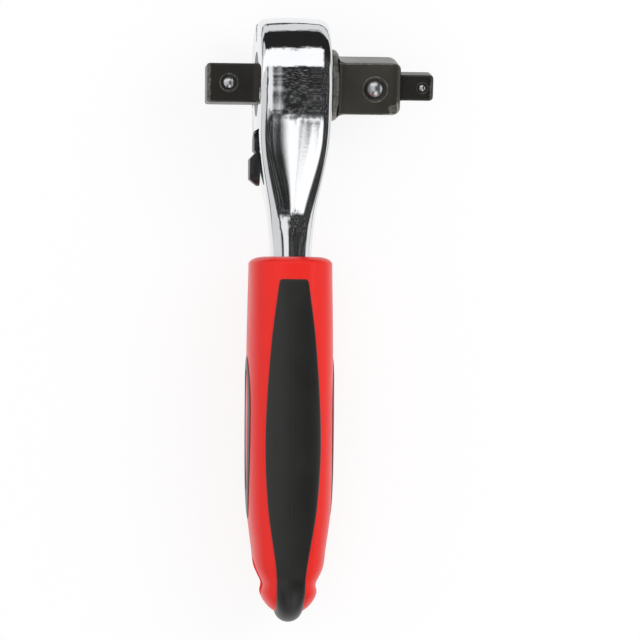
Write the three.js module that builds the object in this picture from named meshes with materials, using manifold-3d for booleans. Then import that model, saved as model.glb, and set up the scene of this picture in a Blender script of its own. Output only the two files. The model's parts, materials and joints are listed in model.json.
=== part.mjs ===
// A stubby reversible ratchet with three square drives: 3/8 in on one side of the head,
// 1/2 in and 1/4 in on the other. Sizes are in millimetres.
// The tool lies on its narrow edge: +X runs along the drive axis to the 1/2 in drive,
// +Y runs along the handle to the head, and +Z is up. The origin lies under the middle of the tool.
// Pieces are drawn round the point where the drive axis crosses the middle of the head,
// and moved once at the end. A place along the handle is its distance down from the drive axis.

import * as THREE from "three";
import { mergeVertices } from "three/addons/utils/BufferGeometryUtils.js";
import Module from "manifold-3d";

const wasm = await Module();
wasm.setup();

const DEGREE = Math.PI / 180;

// Clearances
const RUNNING_GAP = 0.15;
const SEAT_GAP = 0.2;
const MOULD_GAP = 0.25;
const CUT_PAST = 1;

// Square drives: across flats, and how far each stands out
const HALF_SQUARE = 12.7;
const THREE_EIGHTHS_SQUARE = 9.525;
const QUARTER_SQUARE = 6.35;
const HALF_REACH = 17.6;
const QUARTER_LENGTH = 8.3;
const THREE_EIGHTHS_REACH = 12.3;
const SQUARE_CORNER = 0.85;
const SQUARE_END_ROUND = 1.2;
const SQUARE_END_INSET = 0.7;
const RIGHT_CLOCK = 11.5 * DEGREE;
const LEFT_CLOCK = -1 * DEGREE;

// Detent balls, one in the upper face of each square
const HALF_BALL = { radius: 2.5, proud: 0.9, fromEnd: 6.4, springLength: 5, wire: 0.3 };
const THREE_EIGHTHS_BALL = { radius: 1.8, proud: 0.65, fromEnd: 5.3, springLength: 3.6, wire: 0.22 };
const QUARTER_BALL = { radius: 1.1, proud: 0.4, fromEnd: 2.8, springLength: 2.4, wire: 0.14 };
const BALL_LIP = 0.25;
const SPRING_CURLS = 4;

// Ratchet gear, with the washer and the rubber ring round its collar
const COLLAR_RADIUS = 8.8;
const COLLAR_HEIGHT = 2.7;
const COLLAR_ROUND = 1.7;
const GEAR_TEETH = 72;
const GEAR_SHOULDER = 1.1;
const TOOTH_DEPTH = 0.42;
const TOOTH_TIP_SHARE = 0.1;
const TOOTH_ROOT_SHARE = 0.4;
const LEFT_BOSS_RADIUS = 7.7;
const SHANK_RADIUS = 4.6;
const SHANK_LENGTH = 6;
const WASHER_THICKNESS = 0.8;
const SEAL_CORD_RADIUS = 0.6;

// Pawl: a crescent that rocks on the middle of its back, with a toothed pad at each end
const PAWL_WEB = 1.6;
const PAWL_BACK_HEIGHT = 2.8;
const PAWL_PAD_START = 24 * DEGREE;
const PAWL_PAD_END = 42 * DEGREE;
const PAWL_ROCK = 4.8 * DEGREE;
const PAWL_MESH_GAP = 0.1;
const POCKET_MARGIN = 4 * DEGREE;

// Reversing lever with its shaft, the clip that keeps it in the cover plate, and the plunger in the shaft
const LEVER_SHAFT_RADIUS = 2.3;
const LEVER_PIVOT_RADIUS = 1.6;
const LEVER_PIVOT_DEPTH = 1.3;
const LEVER_HUB_RADIUS = 3.7;
const LEVER_TAIL_RADIUS = 3.2;
const LEVER_LENGTH = 13.4;
const LEVER_BASE = 0.7;
const LEVER_PAD_HEIGHT = 1.5;
const LEVER_PAD_LENGTH = 5.3;
const LEVER_NOTCH_HEIGHT = 1;
const LEVER_TAB_HEIGHT = 2.5;
const LEVER_TAB_SLOPE = 1.6;
const PLUNGER_RADIUS = 1;
const PLUNGER_LENGTH = 2.2;
const PLUNGER_REACH = 0.55;
const PLUNGER_FLOOR = 0.65;
const PLUNGER_SPRING_WIRE = 0.12;
const PLUNGER_SPRING_CURLS = 2;
const CLIP_THICKNESS = 0.6;
const CLIP_WIDTH = 1.2;
const CLIP_GROOVE = 0.4;
const CLIP_MOUTH = 70 * DEGREE;

// Head, neck and tang
const HEAD_THICKNESS = 17.3;
const HEAD_WALL = 2.8;
const HEAD_EDGE_ROUND = 2;
const HEAD_BACK_WALL = 3.2;
const HEAD_SQUARENESS = 16;
const FLANK_ANGLE = 18 * DEGREE;
const FLANK_END = 38;
const SLIM_START = 11;
const SLIM_END = 42.5;
const NECK_THICKNESS = 10;
const NECK_DEPTH = 11;
const NECK_SQUARENESS = 3.2;
const TANG_LENGTH = 62;
const TANG_TAPER = 8;
const TANG_THICKNESS = 6.4;
const TANG_DEPTH = 9.2;
const TANG_KEY_RADIUS = 1.8;
const TANG_KEY_PLACES = [18, 48];

// Cover plate and its screws
const COVER_THICKNESS = 2;
const COVER_LAP = 0.8;
const COVER_FOOT_RADIUS = 6.2;
const SCREW_HEAD_RADIUS = 1.75;
const SCREW_THREAD_RADIUS = 1;
const SCREW_LENGTH = 6.5;
const SCREW_KEY_RADIUS = 0.75;
const SCREW_KEY_DEPTH = 0.8;
const SCREW_ANGLES = [180, 75, -75];

// Handle: half width along X and half depth along Z, from its rim (share 0) to its hanging hole (share 1)
const HANDLE_TOP = 42.9;
const HANDLE_TO_HOLE = 77.8;
const HANDLE_STATIONS = [
  { share: 0, halfWidth: 10.1, halfDepth: 11.5 },
  { share: 0.25, halfWidth: 10.4, halfDepth: 12.9 },
  { share: 0.54, halfWidth: 10.5, halfDepth: 13.6 },
  { share: 0.78, halfWidth: 10.1, halfDepth: 12.9 },
  { share: 0.93, halfWidth: 8.8, halfDepth: 11.2 },
  { share: 1, halfWidth: 7.2, halfDepth: 10 },
];
const HANDLE_END_REACH = 9;
const HANDLE_RIM_ROUND = 1;
const HANDLE_DOME = 0.8;
const HANDLE_DOME_WIDTH = 3.5;
const HANDLE_SQUARENESS = 2.9;
const HANG_HOLE_RADIUS = 3;
const HANG_DISH_RADIUS = 4.6;
const HANG_DISH_DEPTH = 1.2;

// Soft grip: half width of the strip, from its top (share 0) to the hanging hole (share 1)
const GRIP_TOP = 4.7;
const GRIP_STATIONS = [
  { share: 0, halfWidth: 3.5 },
  { share: 0.22, halfWidth: 5.5 },
  { share: 0.52, halfWidth: 6.75 },
  { share: 0.75, halfWidth: 6 },
  { share: 0.95, halfWidth: 3.8 },
  { share: 1.03, halfWidth: 3.3 },
];
const GRIP_THICKNESS = 2.2;
const GRIP_PROUD = 0.3;
const GRIP_TAIL_PROUD = 1.5;
const GRIP_TAIL_ROUND = 3;

// Oval inlay round a bare centre on each broad side of the handle, placed from the handle's rim
const BADGE_TOP = 23.5;
const BADGE_WIDEST = 37;
const BADGE_BOTTOM = 63.2;
const BADGE_HALF_WIDTH = 6.9;
const BADGE_BAND = 3.2;
const BADGE_TAIL_BAND = 7;
const BADGE_THICKNESS = 1;
const BADGE_PROUD = 0.25;

// Facets, and how near to its pole a rounded end is drawn
const ROUND_SIDES = 40;
const SMALL_SIDES = 16;
const SECTION_SIDES = 32;
const COIL_STEPS = 8;
const WIRE_SIDES = 4;
const POLE_ANGLE = 86 * DEGREE;

// Places along the drive axis
const leftFace = -HEAD_THICKNESS / 2;
const rightFace = HEAD_THICKNESS / 2;
const coverSeat = leftFace + COVER_THICKNESS;
const backWall = rightFace - HEAD_BACK_WALL;
const gearLeft = coverSeat + SEAT_GAP;
const gearRight = backWall - WASHER_THICKNESS - 2 * RUNNING_GAP;
const collarEnd = rightFace + COLLAR_HEIGHT;
const leftEnd = leftFace - THREE_EIGHTHS_REACH;
const halfEnd = rightFace + HALF_REACH;
const rightEnd = halfEnd + QUARTER_LENGTH;
const clipLeft = coverSeat + RUNNING_GAP;
const pawlLeft = clipLeft + CLIP_THICKNESS + SEAT_GAP;
const pawlRight = gearRight;
const plungerX = (pawlLeft + pawlRight) / 2;
const leverFoot = leftFace - RUNNING_GAP;
const sealX = (backWall + rightFace) / 2;

// Radii and distances square to the drive axis
const gearTip = COLLAR_RADIUS + GEAR_SHOULDER;
const gearRoot = gearTip - TOOTH_DEPTH;
const cavityRadius = gearTip + 2 * RUNNING_GAP;
// A point of the rocking pawl nears the gear by about its height beside the pivot times the angle.
const rockTravel = (pivot, angle) => pivot * Math.sin(angle) * PAWL_ROCK;
const pawlInner = gearTip + rockTravel(gearTip + 2 * PAWL_WEB, PAWL_PAD_START) + RUNNING_GAP;
const pawlPivot = pawlInner + PAWL_WEB;
const pawlBack = gearTip + PAWL_BACK_HEIGHT;
const plungerSweep = LEVER_SHAFT_RADIUS + PLUNGER_REACH;
const leverAxis = pawlPivot + SEAT_GAP + plungerSweep;
const pocketRadius = pawlBack + rockTravel(pawlPivot, PAWL_PAD_END) + SEAT_GAP;
const pocketAngle = PAWL_PAD_END + POCKET_MARGIN;
const clipInner = LEVER_SHAFT_RADIUS - CLIP_GROOVE + RUNNING_GAP;
const clipOuter = clipInner + CLIP_WIDTH;
const shaftWell = Math.max(clipOuter, plungerSweep) + SEAT_GAP;
const coverRadius = pocketRadius + COVER_LAP;
const coverFoot = leverAxis + shaftWell + COVER_LAP - COVER_FOOT_RADIUS;
const headRadius = pocketRadius + HEAD_WALL;
const crownTop = headRadius * Math.sin(POLE_ANGLE);
const screwCircle = (cavityRadius + coverRadius) / 2;
const sealRadius = COLLAR_RADIUS + RUNNING_GAP + SEAL_CORD_RADIUS;
const plungerNose = plungerSweep - leverAxis;
const plungerRear = plungerNose - PLUNGER_LENGTH;
const plungerFloor = PLUNGER_FLOOR - LEVER_SHAFT_RADIUS - leverAxis;

// Places along the handle
const hangHole = HANDLE_TOP + HANDLE_TO_HOLE;
const tangEnd = HANDLE_TOP + TANG_LENGTH;
const gripTop = HANDLE_TOP + GRIP_TOP;
const toolEnd = hangHole + HANDLE_END_REACH + GRIP_TAIL_PROUD;
const flankStart = headRadius * Math.sin(FLANK_ANGLE);

// Finishes
const finish = (color, roughness, metalness) =>
  new THREE.MeshStandardMaterial({ color, roughness, metalness });
const chrome = () => finish(0xd8dadc, 0.12, 1);
const blackSteel = () => finish(0x2c2a27, 0.45, 0.8);
const brightSteel = () => finish(0xb9bbbd, 0.25, 1);
const blackPaint = () => finish(0x1e1e1e, 0.5, 0.2);
const redPlastic = () => finish(0xe02a22, 0.35, 0);
const blackRubber = () => finish(0x2d2d2b, 0.75, 0);

// A closed geometry as a solid that can be joined and cut.
function solid(geometry) {
  const bare = geometry.clone();
  bare.deleteAttribute("normal");
  bare.deleteAttribute("uv");
  const merged = mergeVertices(bare, 1e-4);
  const corners = merged.index.array;
  const kept = [];
  for (let i = 0; i < corners.length; i += 3) {
    const [a, b, c] = [corners[i], corners[i + 1], corners[i + 2]];
    if (a !== b && b !== c && c !== a) kept.push(a, b, c);
  }
  const vertProperties = new Float32Array(merged.attributes.position.array);
  return new wasm.Manifold(new wasm.Mesh({ numProp: 3, vertProperties, triVerts: new Uint32Array(kept) }));
}

// A solid with each of the given geometries cut away.
const cutAway = (body, geometries) =>
  geometries.reduce((left, geometry) => left.subtract(solid(geometry)), body);

// A solid as a geometry.
function surface(body) {
  const mesh = body.getMesh();
  const geometry = new THREE.BufferGeometry();
  geometry.setAttribute("position", new THREE.BufferAttribute(new Float32Array(mesh.vertProperties), 3));
  geometry.setIndex(new THREE.BufferAttribute(new Uint32Array(mesh.triVerts), 1));
  geometry.computeVertexNormals();
  return geometry;
}

// One named piece, from a geometry or a solid.
function piece(name, shape, material) {
  const mesh = new THREE.Mesh(shape.isBufferGeometry ? shape : surface(shape), material);
  mesh.name = name;
  return mesh;
}

const steps = (count) => Array.from({ length: count + 1 }, (_, i) => i / count);
const smooth = (share) => THREE.MathUtils.smoothstep(share, 0, 1);

const alongX = new THREE.Matrix4().makeBasis(
  new THREE.Vector3(0, 1, 0),
  new THREE.Vector3(0, 0, 1),
  new THREE.Vector3(1, 0, 0),
);
const spunAboutX = new THREE.Matrix4().makeBasis(
  new THREE.Vector3(0, 1, 0),
  new THREE.Vector3(1, 0, 0),
  new THREE.Vector3(0, 0, -1),
);

// An outline in Y and Z, run along X.
function runX(outline, from, to) {
  const shape = Array.isArray(outline) ? new THREE.Shape(outline) : outline;
  const run = { depth: to - from, bevelEnabled: false, curveSegments: SMALL_SIDES };
  return new THREE.ExtrudeGeometry(shape, run).applyMatrix4(alongX).translate(from, 0, 0);
}

// An outline in X and Y, run along Z to both sides.
function runZ(shape, half) {
  const run = { depth: 2 * half, bevelEnabled: false, curveSegments: SMALL_SIDES };
  return new THREE.ExtrudeGeometry(shape, run).translate(0, 0, -half);
}

// A profile of [radius, x] points spun round the drive axis.
function spinX(profile, sides = ROUND_SIDES) {
  const points = profile.map(([radius, x]) => new THREE.Vector2(radius, x));
  return new THREE.LatheGeometry(points, sides).applyMatrix4(spunAboutX);
}

const rodX = (radius, from, to, sides = ROUND_SIDES) =>
  spinX([[0, from], [radius, from], [radius, to], [0, to]], sides);

const ringX = (inner, outer, from, to, sides = ROUND_SIDES) =>
  spinX([[inner, from], [outer, from], [outer, to], [inner, to], [inner, from]], sides);

// A closed body skinned through rings of points.
// The points go round clockwise, seen along the way that the rings follow.
function skin(rings) {
  const count = rings[0].length;
  const middle = (ring) =>
    ring.reduce((sum, point) => sum.add(point), new THREE.Vector3()).divideScalar(count);
  const points = [...rings.flat(), middle(rings[0]), middle(rings[rings.length - 1])];
  const lastStart = (rings.length - 1) * count;
  const index = [];
  for (let i = 0; i < count; i++) {
    const next = (i + 1) % count;
    for (let start = 0; start < lastStart; start += count) {
      index.push(start + i, start + next, start + count + i);
      index.push(start + next, start + count + next, start + count + i);
    }
    index.push(points.length - 2, next, i);
    index.push(points.length - 1, lastStart + i, lastStart + next);
  }
  return new THREE.BufferGeometry().setFromPoints(points).setIndex(index);
}

// A superellipse across the tool, with a flat facet on each side, so that the tool lies steadily.
function sectionRing(down, halfWidth, halfDepth, squareness) {
  const bend = (value) => Math.sign(value) * Math.abs(value) ** (2 / squareness);
  const flat = bend(Math.cos(Math.PI / SECTION_SIDES));
  return Array.from({ length: SECTION_SIDES }, (_, i) => {
    const turn = (2 * Math.PI * (i + 0.5)) / SECTION_SIDES;
    const x = (halfWidth * bend(Math.cos(turn))) / flat;
    const z = (halfDepth * bend(Math.sin(turn))) / flat;
    return new THREE.Vector3(x, -down, z);
  });
}

// A point at a radius and an angle from the handle's side of the drive axis.
const polar = (radius, angle) => new THREE.Vector2(-radius * Math.cos(angle), radius * Math.sin(angle));

// The part of a ring between two radii and two angles.
function sectorOutline(inner, outer, from, to) {
  const arc = (radius) => steps(SMALL_SIDES).map((share) => polar(radius, from + (to - from) * share));
  return [...arc(inner), ...arc(outer).reverse()];
}

// Two circles on the tool's middle line, with the straight sides that touch both.
function twoCircleOutline(firstDown, firstRadius, secondDown, secondRadius) {
  const lean = Math.asin((firstRadius - secondRadius) / (secondDown - firstDown));
  const outline = new THREE.Shape();
  outline.absarc(-firstDown, 0, firstRadius, -Math.PI / 2 - lean, Math.PI / 2 + lean, false);
  outline.absarc(-secondDown, 0, secondRadius, Math.PI / 2 + lean, 1.5 * Math.PI - lean, false);
  return outline;
}

// Half the forging's depth: the round of the head, then a flank that runs out into the neck.
function headHalfDepth(down) {
  if (down <= flankStart) return Math.sqrt(headRadius ** 2 - down ** 2);
  const length = FLANK_END - flankStart;
  const share = Math.min((down - flankStart) / length, 1);
  const stay = 2 * share ** 3 - 3 * share ** 2 + 1;
  const lead = share ** 3 - 2 * share ** 2 + share;
  const startDepth = headRadius * Math.cos(FLANK_ANGLE);
  return stay * startDepth - lead * Math.tan(FLANK_ANGLE) * length + ((1 - stay) * NECK_DEPTH) / 2;
}

// Half the forging's thickness: the head, rounded off at its top edge, then slimmer down to the neck.
function headHalfThickness(down) {
  const share = smooth((SLIM_END - down) / (SLIM_END - SLIM_START));
  const intoRound = Math.max(HEAD_EDGE_ROUND - headRadius - down, 0);
  const roundedOff = HEAD_EDGE_ROUND - Math.sqrt(HEAD_EDGE_ROUND ** 2 - intoRound ** 2);
  return NECK_THICKNESS / 2 + ((HEAD_THICKNESS - NECK_THICKNESS) / 2) * share - roundedOff;
}

function neckRing(down, allowance) {
  const square = smooth((FLANK_END - down) / (FLANK_END - flankStart));
  const squareness = NECK_SQUARENESS + (HEAD_SQUARENESS - NECK_SQUARENESS) * square;
  return sectionRing(down, headHalfThickness(down) + allowance, headHalfDepth(down) + allowance, squareness);
}

const tangRing = (down, allowance) =>
  sectionRing(down, TANG_THICKNESS / 2 + allowance, TANG_DEPTH / 2 + allowance, NECK_SQUARENESS);

// The tang inside the handle, from a little above the handle's rim.
const tangRings = (allowance) => [
  neckRing(HANDLE_TOP - 2 * HANDLE_DOME, allowance),
  neckRing(HANDLE_TOP, allowance),
  tangRing(HANDLE_TOP + TANG_TAPER, allowance),
  tangRing(tangEnd + allowance, allowance),
];

// A pin or hole through the tang's depth.
const tangKey = (radius, place, length) =>
  new THREE.CylinderGeometry(radius, radius, length, SMALL_SIDES)
    .rotateX(Math.PI / 2)
    .translate(0, -HANDLE_TOP - place, 0);

const coverOutline = (allowance) =>
  twoCircleOutline(0, coverRadius + allowance, coverFoot, COVER_FOOT_RADIUS + allowance);

const screwPlaces = SCREW_ANGLES.map((angle) => {
  const place = polar(screwCircle, angle * DEGREE);
  return { y: place.x, z: place.y };
});

function headForging() {
  const crownDowns = steps(9).map((share) => -headRadius * Math.sin(POLE_ANGLE * (1 - share)));
  const sideDowns = steps(2).slice(1).map((share) => flankStart * share);
  const flankDowns = steps(9).slice(1).map((share) => flankStart + (HANDLE_TOP - flankStart) * share);
  const rings = [...crownDowns, ...sideDowns, ...flankDowns].map((down) => neckRing(down, 0));
  const body = solid(skin([...rings, ...tangRings(0).slice(2)]));
  const pocket = sectorOutline(gearTip - PAWL_WEB, pocketRadius, -pocketAngle, pocketAngle);
  const pivotEnd = backWall + LEVER_PIVOT_DEPTH + SEAT_GAP;
  const screwEnd = leftFace + SCREW_LENGTH + SEAT_GAP;
  const screwHole = rodX(SCREW_THREAD_RADIUS + RUNNING_GAP, leftFace, screwEnd, SMALL_SIDES);
  const sealGroove = SEAL_CORD_RADIUS + SEAT_GAP;
  return cutAway(body, [
    runX(coverOutline(SEAT_GAP), leftFace - CUT_PAST, coverSeat),
    rodX(cavityRadius, leftFace, backWall),
    rodX(COLLAR_RADIUS + RUNNING_GAP, leftFace, rightFace + CUT_PAST),
    ringX(COLLAR_RADIUS, sealRadius + sealGroove, sealX - sealGroove, sealX + sealGroove),
    runX(pocket, leftFace, backWall),
    rodX(shaftWell, leftFace, backWall, SMALL_SIDES).translate(0, -leverAxis, 0),
    rodX(LEVER_PIVOT_RADIUS + RUNNING_GAP, leftFace, pivotEnd, SMALL_SIDES).translate(0, -leverAxis, 0),
    ...screwPlaces.map(({ y, z }) => screwHole.clone().translate(0, y, z)),
    ...TANG_KEY_PLACES.map((place) => tangKey(TANG_KEY_RADIUS, place, NECK_DEPTH)),
  ]);
}

// A countersunk screw from its face inwards, grown by an allowance.
function screwGeometry(allowance) {
  const head = SCREW_HEAD_RADIUS + allowance;
  const thread = SCREW_THREAD_RADIUS + allowance;
  const face = leftFace + RUNNING_GAP - allowance;
  const end = leftFace + SCREW_LENGTH;
  const neck = face + head - thread;
  return spinX([[0, face], [head, face], [thread, neck], [thread, end], [0, end]], SMALL_SIDES);
}

function coverPlate() {
  const plate = solid(runX(coverOutline(0), leftFace, coverSeat));
  const from = leftFace - CUT_PAST;
  const to = coverSeat + CUT_PAST;
  const leverHole = rodX(LEVER_SHAFT_RADIUS + RUNNING_GAP, from, to, SMALL_SIDES);
  return cutAway(plate, [
    rodX(LEFT_BOSS_RADIUS + RUNNING_GAP, from, to),
    leverHole.translate(0, -leverAxis, 0),
    ...screwPlaces.map(({ y, z }) => screwGeometry(RUNNING_GAP).translate(0, y, z)),
  ]);
}

function coverScrew() {
  const key = rodX(SCREW_KEY_RADIUS, leftFace - CUT_PAST, leftFace + SCREW_KEY_DEPTH, 6);
  return cutAway(solid(screwGeometry(0)), [key]);
}

// Teeth all round, each a flat-topped V; an allowance grows the outline for cutting its mate.
function gearOutline(allowance) {
  const pitch = (2 * Math.PI) / GEAR_TEETH;
  const tip = gearTip + allowance;
  const root = gearRoot + allowance;
  const tipHalf = pitch * TOOTH_TIP_SHARE + allowance / tip;
  const rootHalf = pitch * TOOTH_ROOT_SHARE + allowance / root;
  return Array.from({ length: GEAR_TEETH }, (_, tooth) => {
    const middle = tooth * pitch;
    return [
      polar(root, middle - rootHalf),
      polar(tip, middle - tipHalf),
      polar(tip, middle + tipHalf),
      polar(root, middle + rootHalf),
    ];
  }).flat();
}

// A square with rounded corners across the drive axis.
function squareRing(x, across, corner) {
  const reach = Math.SQRT2 * (across / 2 - corner);
  return [45, 135, 225, 315].flatMap((diagonal) =>
    [-45, 0, 45].map((turn) => {
      const angle = (diagonal + turn) * DEGREE;
      const y = reach * Math.cos(diagonal * DEGREE) + corner * Math.cos(angle);
      const z = reach * Math.sin(diagonal * DEGREE) + corner * Math.sin(angle);
      return new THREE.Vector3(x, y, z);
    }),
  );
}

// A square drive whose end is rounded off; the end may lie to either side of the root.
function squareDrive(across, root, end) {
  const way = Math.sign(end - root);
  const rounded = steps(3).map((share) => {
    const turn = (share * Math.PI) / 2;
    const inset = SQUARE_END_INSET * (1 - Math.cos(turn));
    const x = end - way * SQUARE_END_ROUND * (1 - Math.sin(turn));
    return squareRing(x, across - 2 * inset, SQUARE_CORNER);
  });
  const rings = [squareRing(root, across, SQUARE_CORNER), ...rounded];
  return skin(way > 0 ? rings : rings.reverse());
}

const ballHeight = (ball, face) => face + ball.proud - ball.radius;
const springFloor = (ball, face) => ballHeight(ball, face) - ball.radius - ball.springLength;

// The bore for a ball and its spring, with a lip that keeps the ball in, sunk from a square's upper face.
function ballBore(ball, x, face) {
  const floor = springFloor(ball, face) - SEAT_GAP;
  const wide = ball.radius + RUNNING_GAP;
  const lip = face - BALL_LIP;
  const mouth = Math.sqrt(ball.radius ** 2 - (lip - ballHeight(ball, face)) ** 2) + RUNNING_GAP;
  const above = face + CUT_PAST;
  const profile = [[0, floor], [wide, floor], [wide, lip], [mouth, lip], [mouth, above], [0, above]];
  const points = profile.map(([radius, height]) => new THREE.Vector2(radius, height));
  return new THREE.LatheGeometry(points, SMALL_SIDES).rotateX(Math.PI / 2).translate(x, 0, 0);
}

const halfBallX = halfEnd - HALF_BALL.fromEnd;
const quarterBallX = rightEnd - QUARTER_BALL.fromEnd;
const threeEighthsBallX = leftEnd + THREE_EIGHTHS_BALL.fromEnd;

const hexagon = (radius) => Array.from({ length: 6 }, (_, i) => polar(radius, i * 60 * DEGREE));

// The gear's left boss ends level with the cover plate.
// The hexagon socket in it takes the shank of the 3/8 in anvil.
function ratchetGear() {
  const shoulder = steps(4).map((share) => {
    const turn = (share * Math.PI) / 2;
    return [
      COLLAR_RADIUS - COLLAR_ROUND * (1 - Math.cos(turn)),
      collarEnd - COLLAR_ROUND * (1 - Math.sin(turn)),
    ];
  });
  const inside = gearLeft + CUT_PAST;
  const turned = (geometry) => geometry.rotateX(RIGHT_CLOCK);
  const joined = [
    spinX([[0, inside], [COLLAR_RADIUS, inside], ...shoulder, [0, collarEnd]]),
    rodX(LEFT_BOSS_RADIUS, leftFace, inside),
    turned(squareDrive(HALF_SQUARE, rightFace, halfEnd)),
    turned(squareDrive(QUARTER_SQUARE, halfEnd - CUT_PAST, rightEnd)),
  ];
  const teeth = solid(runX(gearOutline(0), gearLeft, gearRight));
  const gear = joined.reduce((body, geometry) => body.add(solid(geometry)), teeth);
  return cutAway(gear, [
    turned(ballBore(HALF_BALL, halfBallX, HALF_SQUARE / 2)),
    turned(ballBore(QUARTER_BALL, quarterBallX, QUARTER_SQUARE / 2)),
    runX(hexagon(SHANK_RADIUS + RUNNING_GAP), leftFace - CUT_PAST, leftFace + SHANK_LENGTH + SEAT_GAP),
  ]);
}

function threeEighthsAnvil() {
  const square = squareDrive(THREE_EIGHTHS_SQUARE, leftFace - SEAT_GAP, leftEnd).rotateX(LEFT_CLOCK);
  const shank = runX(hexagon(SHANK_RADIUS), leftFace - CUT_PAST, leftFace + SHANK_LENGTH);
  const bore = ballBore(THREE_EIGHTHS_BALL, threeEighthsBallX, THREE_EIGHTHS_SQUARE / 2).rotateX(LEFT_CLOCK);
  return cutAway(solid(square).add(solid(shank)), [bore]);
}

// A coil spring standing on its floor, as one tube along a helix.
function coilSpring(radius, wire, length, curls) {
  const rings = steps(curls * COIL_STEPS).map((share) => {
    const turn = 2 * Math.PI * curls * share;
    const height = wire + (length - 2 * wire) * share;
    return Array.from({ length: WIRE_SIDES }, (_, side) => {
      const around = (-2 * Math.PI * side) / WIRE_SIDES;
      const out = radius + wire * Math.cos(around);
      return new THREE.Vector3(out * Math.cos(turn), out * Math.sin(turn), height + wire * Math.sin(around));
    });
  });
  return skin(rings);
}

// A ball and the spring below it, in the upper face of an unturned square.
function detent(name, ball, x, face) {
  const sphere = new THREE.SphereGeometry(ball.radius, SMALL_SIDES, SMALL_SIDES / 2);
  const ballMesh = piece(`detent_ball_${name}`, sphere, brightSteel());
  ballMesh.position.set(x, 0, ballHeight(ball, face));
  const coil = coilSpring(ball.radius - ball.wire, ball.wire, ball.springLength - SEAT_GAP, SPRING_CURLS);
  const springMesh = piece(`detent_spring_${name}`, coil, brightSteel());
  springMesh.position.set(x, 0, springFloor(ball, face));
  return [ballMesh, springMesh];
}

// A pad of the pawl as it lies in the teeth,
// turned back about the pawl's pivot to where the centred lever leaves it.
// Its back is lower than the web's, because the pad rocks as far again into its pocket.
function pawlPad(side) {
  const padBack = pawlBack - rockTravel(pawlPivot, PAWL_PAD_END);
  const turnBack = (geometry) =>
    solid(geometry.translate(0, pawlPivot, 0).rotateX(side * PAWL_ROCK).translate(0, -pawlPivot, 0));
  const blank = sectorOutline(gearRoot, padBack, side * PAWL_PAD_START, side * PAWL_PAD_END);
  const teeth = turnBack(runX(gearOutline(PAWL_MESH_GAP), pawlLeft - CUT_PAST, pawlRight + CUT_PAST));
  return turnBack(runX(blank, pawlLeft, pawlRight)).subtract(teeth);
}

function pawl() {
  const reach = PAWL_PAD_START + PAWL_ROCK / 2;
  const web = solid(runX(sectorOutline(pawlInner, pawlBack, -reach, reach), pawlLeft, pawlRight));
  const hollow = rodX(plungerSweep + SEAT_GAP, pawlLeft - CUT_PAST, pawlRight + CUT_PAST);
  return cutAway(web, [hollow.translate(0, -leverAxis, 0)]).add(pawlPad(1)).add(pawlPad(-1));
}

// The lever's side view, as heights above the cover plate: a low hub, a notch and a thumb tab.
function leverSideOutline() {
  const top = leverAxis - LEVER_HUB_RADIUS;
  const notch = top + LEVER_PAD_LENGTH;
  const end = top + LEVER_LENGTH;
  const edge = LEVER_PAD_HEIGHT - LEVER_BASE;
  const points = [
    [0, top],
    [LEVER_BASE, top],
    [LEVER_PAD_HEIGHT, top + edge],
    [LEVER_PAD_HEIGHT, notch - edge / 2],
    [LEVER_NOTCH_HEIGHT, notch],
    [LEVER_TAB_HEIGHT, notch + LEVER_TAB_SLOPE],
    [LEVER_TAB_HEIGHT, end - LEVER_TAB_SLOPE],
    [LEVER_BASE, end],
    [0, end],
  ];
  return new THREE.Shape(points.map(([height, down]) => new THREE.Vector2(leverFoot - height, -down)));
}

function reversingLever() {
  const tailDown = leverAxis - LEVER_HUB_RADIUS + LEVER_LENGTH - LEVER_TAIL_RADIUS;
  const plan = twoCircleOutline(leverAxis, LEVER_HUB_RADIUS, tailDown, LEVER_TAIL_RADIUS);
  const tab = solid(runX(plan, leverFoot - LEVER_TAB_HEIGHT - CUT_PAST, leverFoot + CUT_PAST));
  const profile = solid(runZ(leverSideOutline(), 2 * LEVER_HUB_RADIUS));
  const onAxis = (geometry) => geometry.translate(0, -leverAxis, 0);
  const shaft = rodX(LEVER_SHAFT_RADIUS, leverFoot - LEVER_BASE / 2, pawlRight, SMALL_SIDES);
  const pivot = rodX(LEVER_PIVOT_RADIUS, pawlRight - CUT_PAST, backWall + LEVER_PIVOT_DEPTH, SMALL_SIDES);
  const lever = tab.intersect(profile).add(solid(onAxis(shaft))).add(solid(onAxis(pivot)));
  const grooveFloor = LEVER_SHAFT_RADIUS - CLIP_GROOVE;
  const grooveEnd = clipLeft + CLIP_THICKNESS + RUNNING_GAP;
  const groove = ringX(grooveFloor, clipOuter, clipLeft - RUNNING_GAP, grooveEnd, SMALL_SIDES);
  const boreRadius = PLUNGER_RADIUS + RUNNING_GAP;
  const boreLength = plungerNose - plungerFloor;
  const bore = new THREE.CylinderGeometry(boreRadius, boreRadius, boreLength, SMALL_SIDES);
  return cutAway(lever, [onAxis(groove), bore.translate(plungerX, plungerFloor + boreLength / 2, 0)]);
}

function leverClip() {
  const outline = sectorOutline(clipInner, clipOuter, CLIP_MOUTH / 2, 2 * Math.PI - CLIP_MOUTH / 2);
  return runX(outline, clipLeft, clipLeft + CLIP_THICKNESS).translate(0, -leverAxis, 0);
}

function leverPlunger() {
  const shoulder = plungerNose - PLUNGER_RADIUS;
  const nose = steps(4).map((share) => {
    const turn = (share * Math.PI) / 2;
    return [PLUNGER_RADIUS * Math.cos(turn), shoulder + PLUNGER_RADIUS * Math.sin(turn)];
  });
  const profile = [[0, plungerRear], [PLUNGER_RADIUS, plungerRear], ...nose];
  const points = profile.map(([radius, y]) => new THREE.Vector2(radius, y));
  return new THREE.LatheGeometry(points, SMALL_SIDES).translate(plungerX, 0, 0);
}

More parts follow.
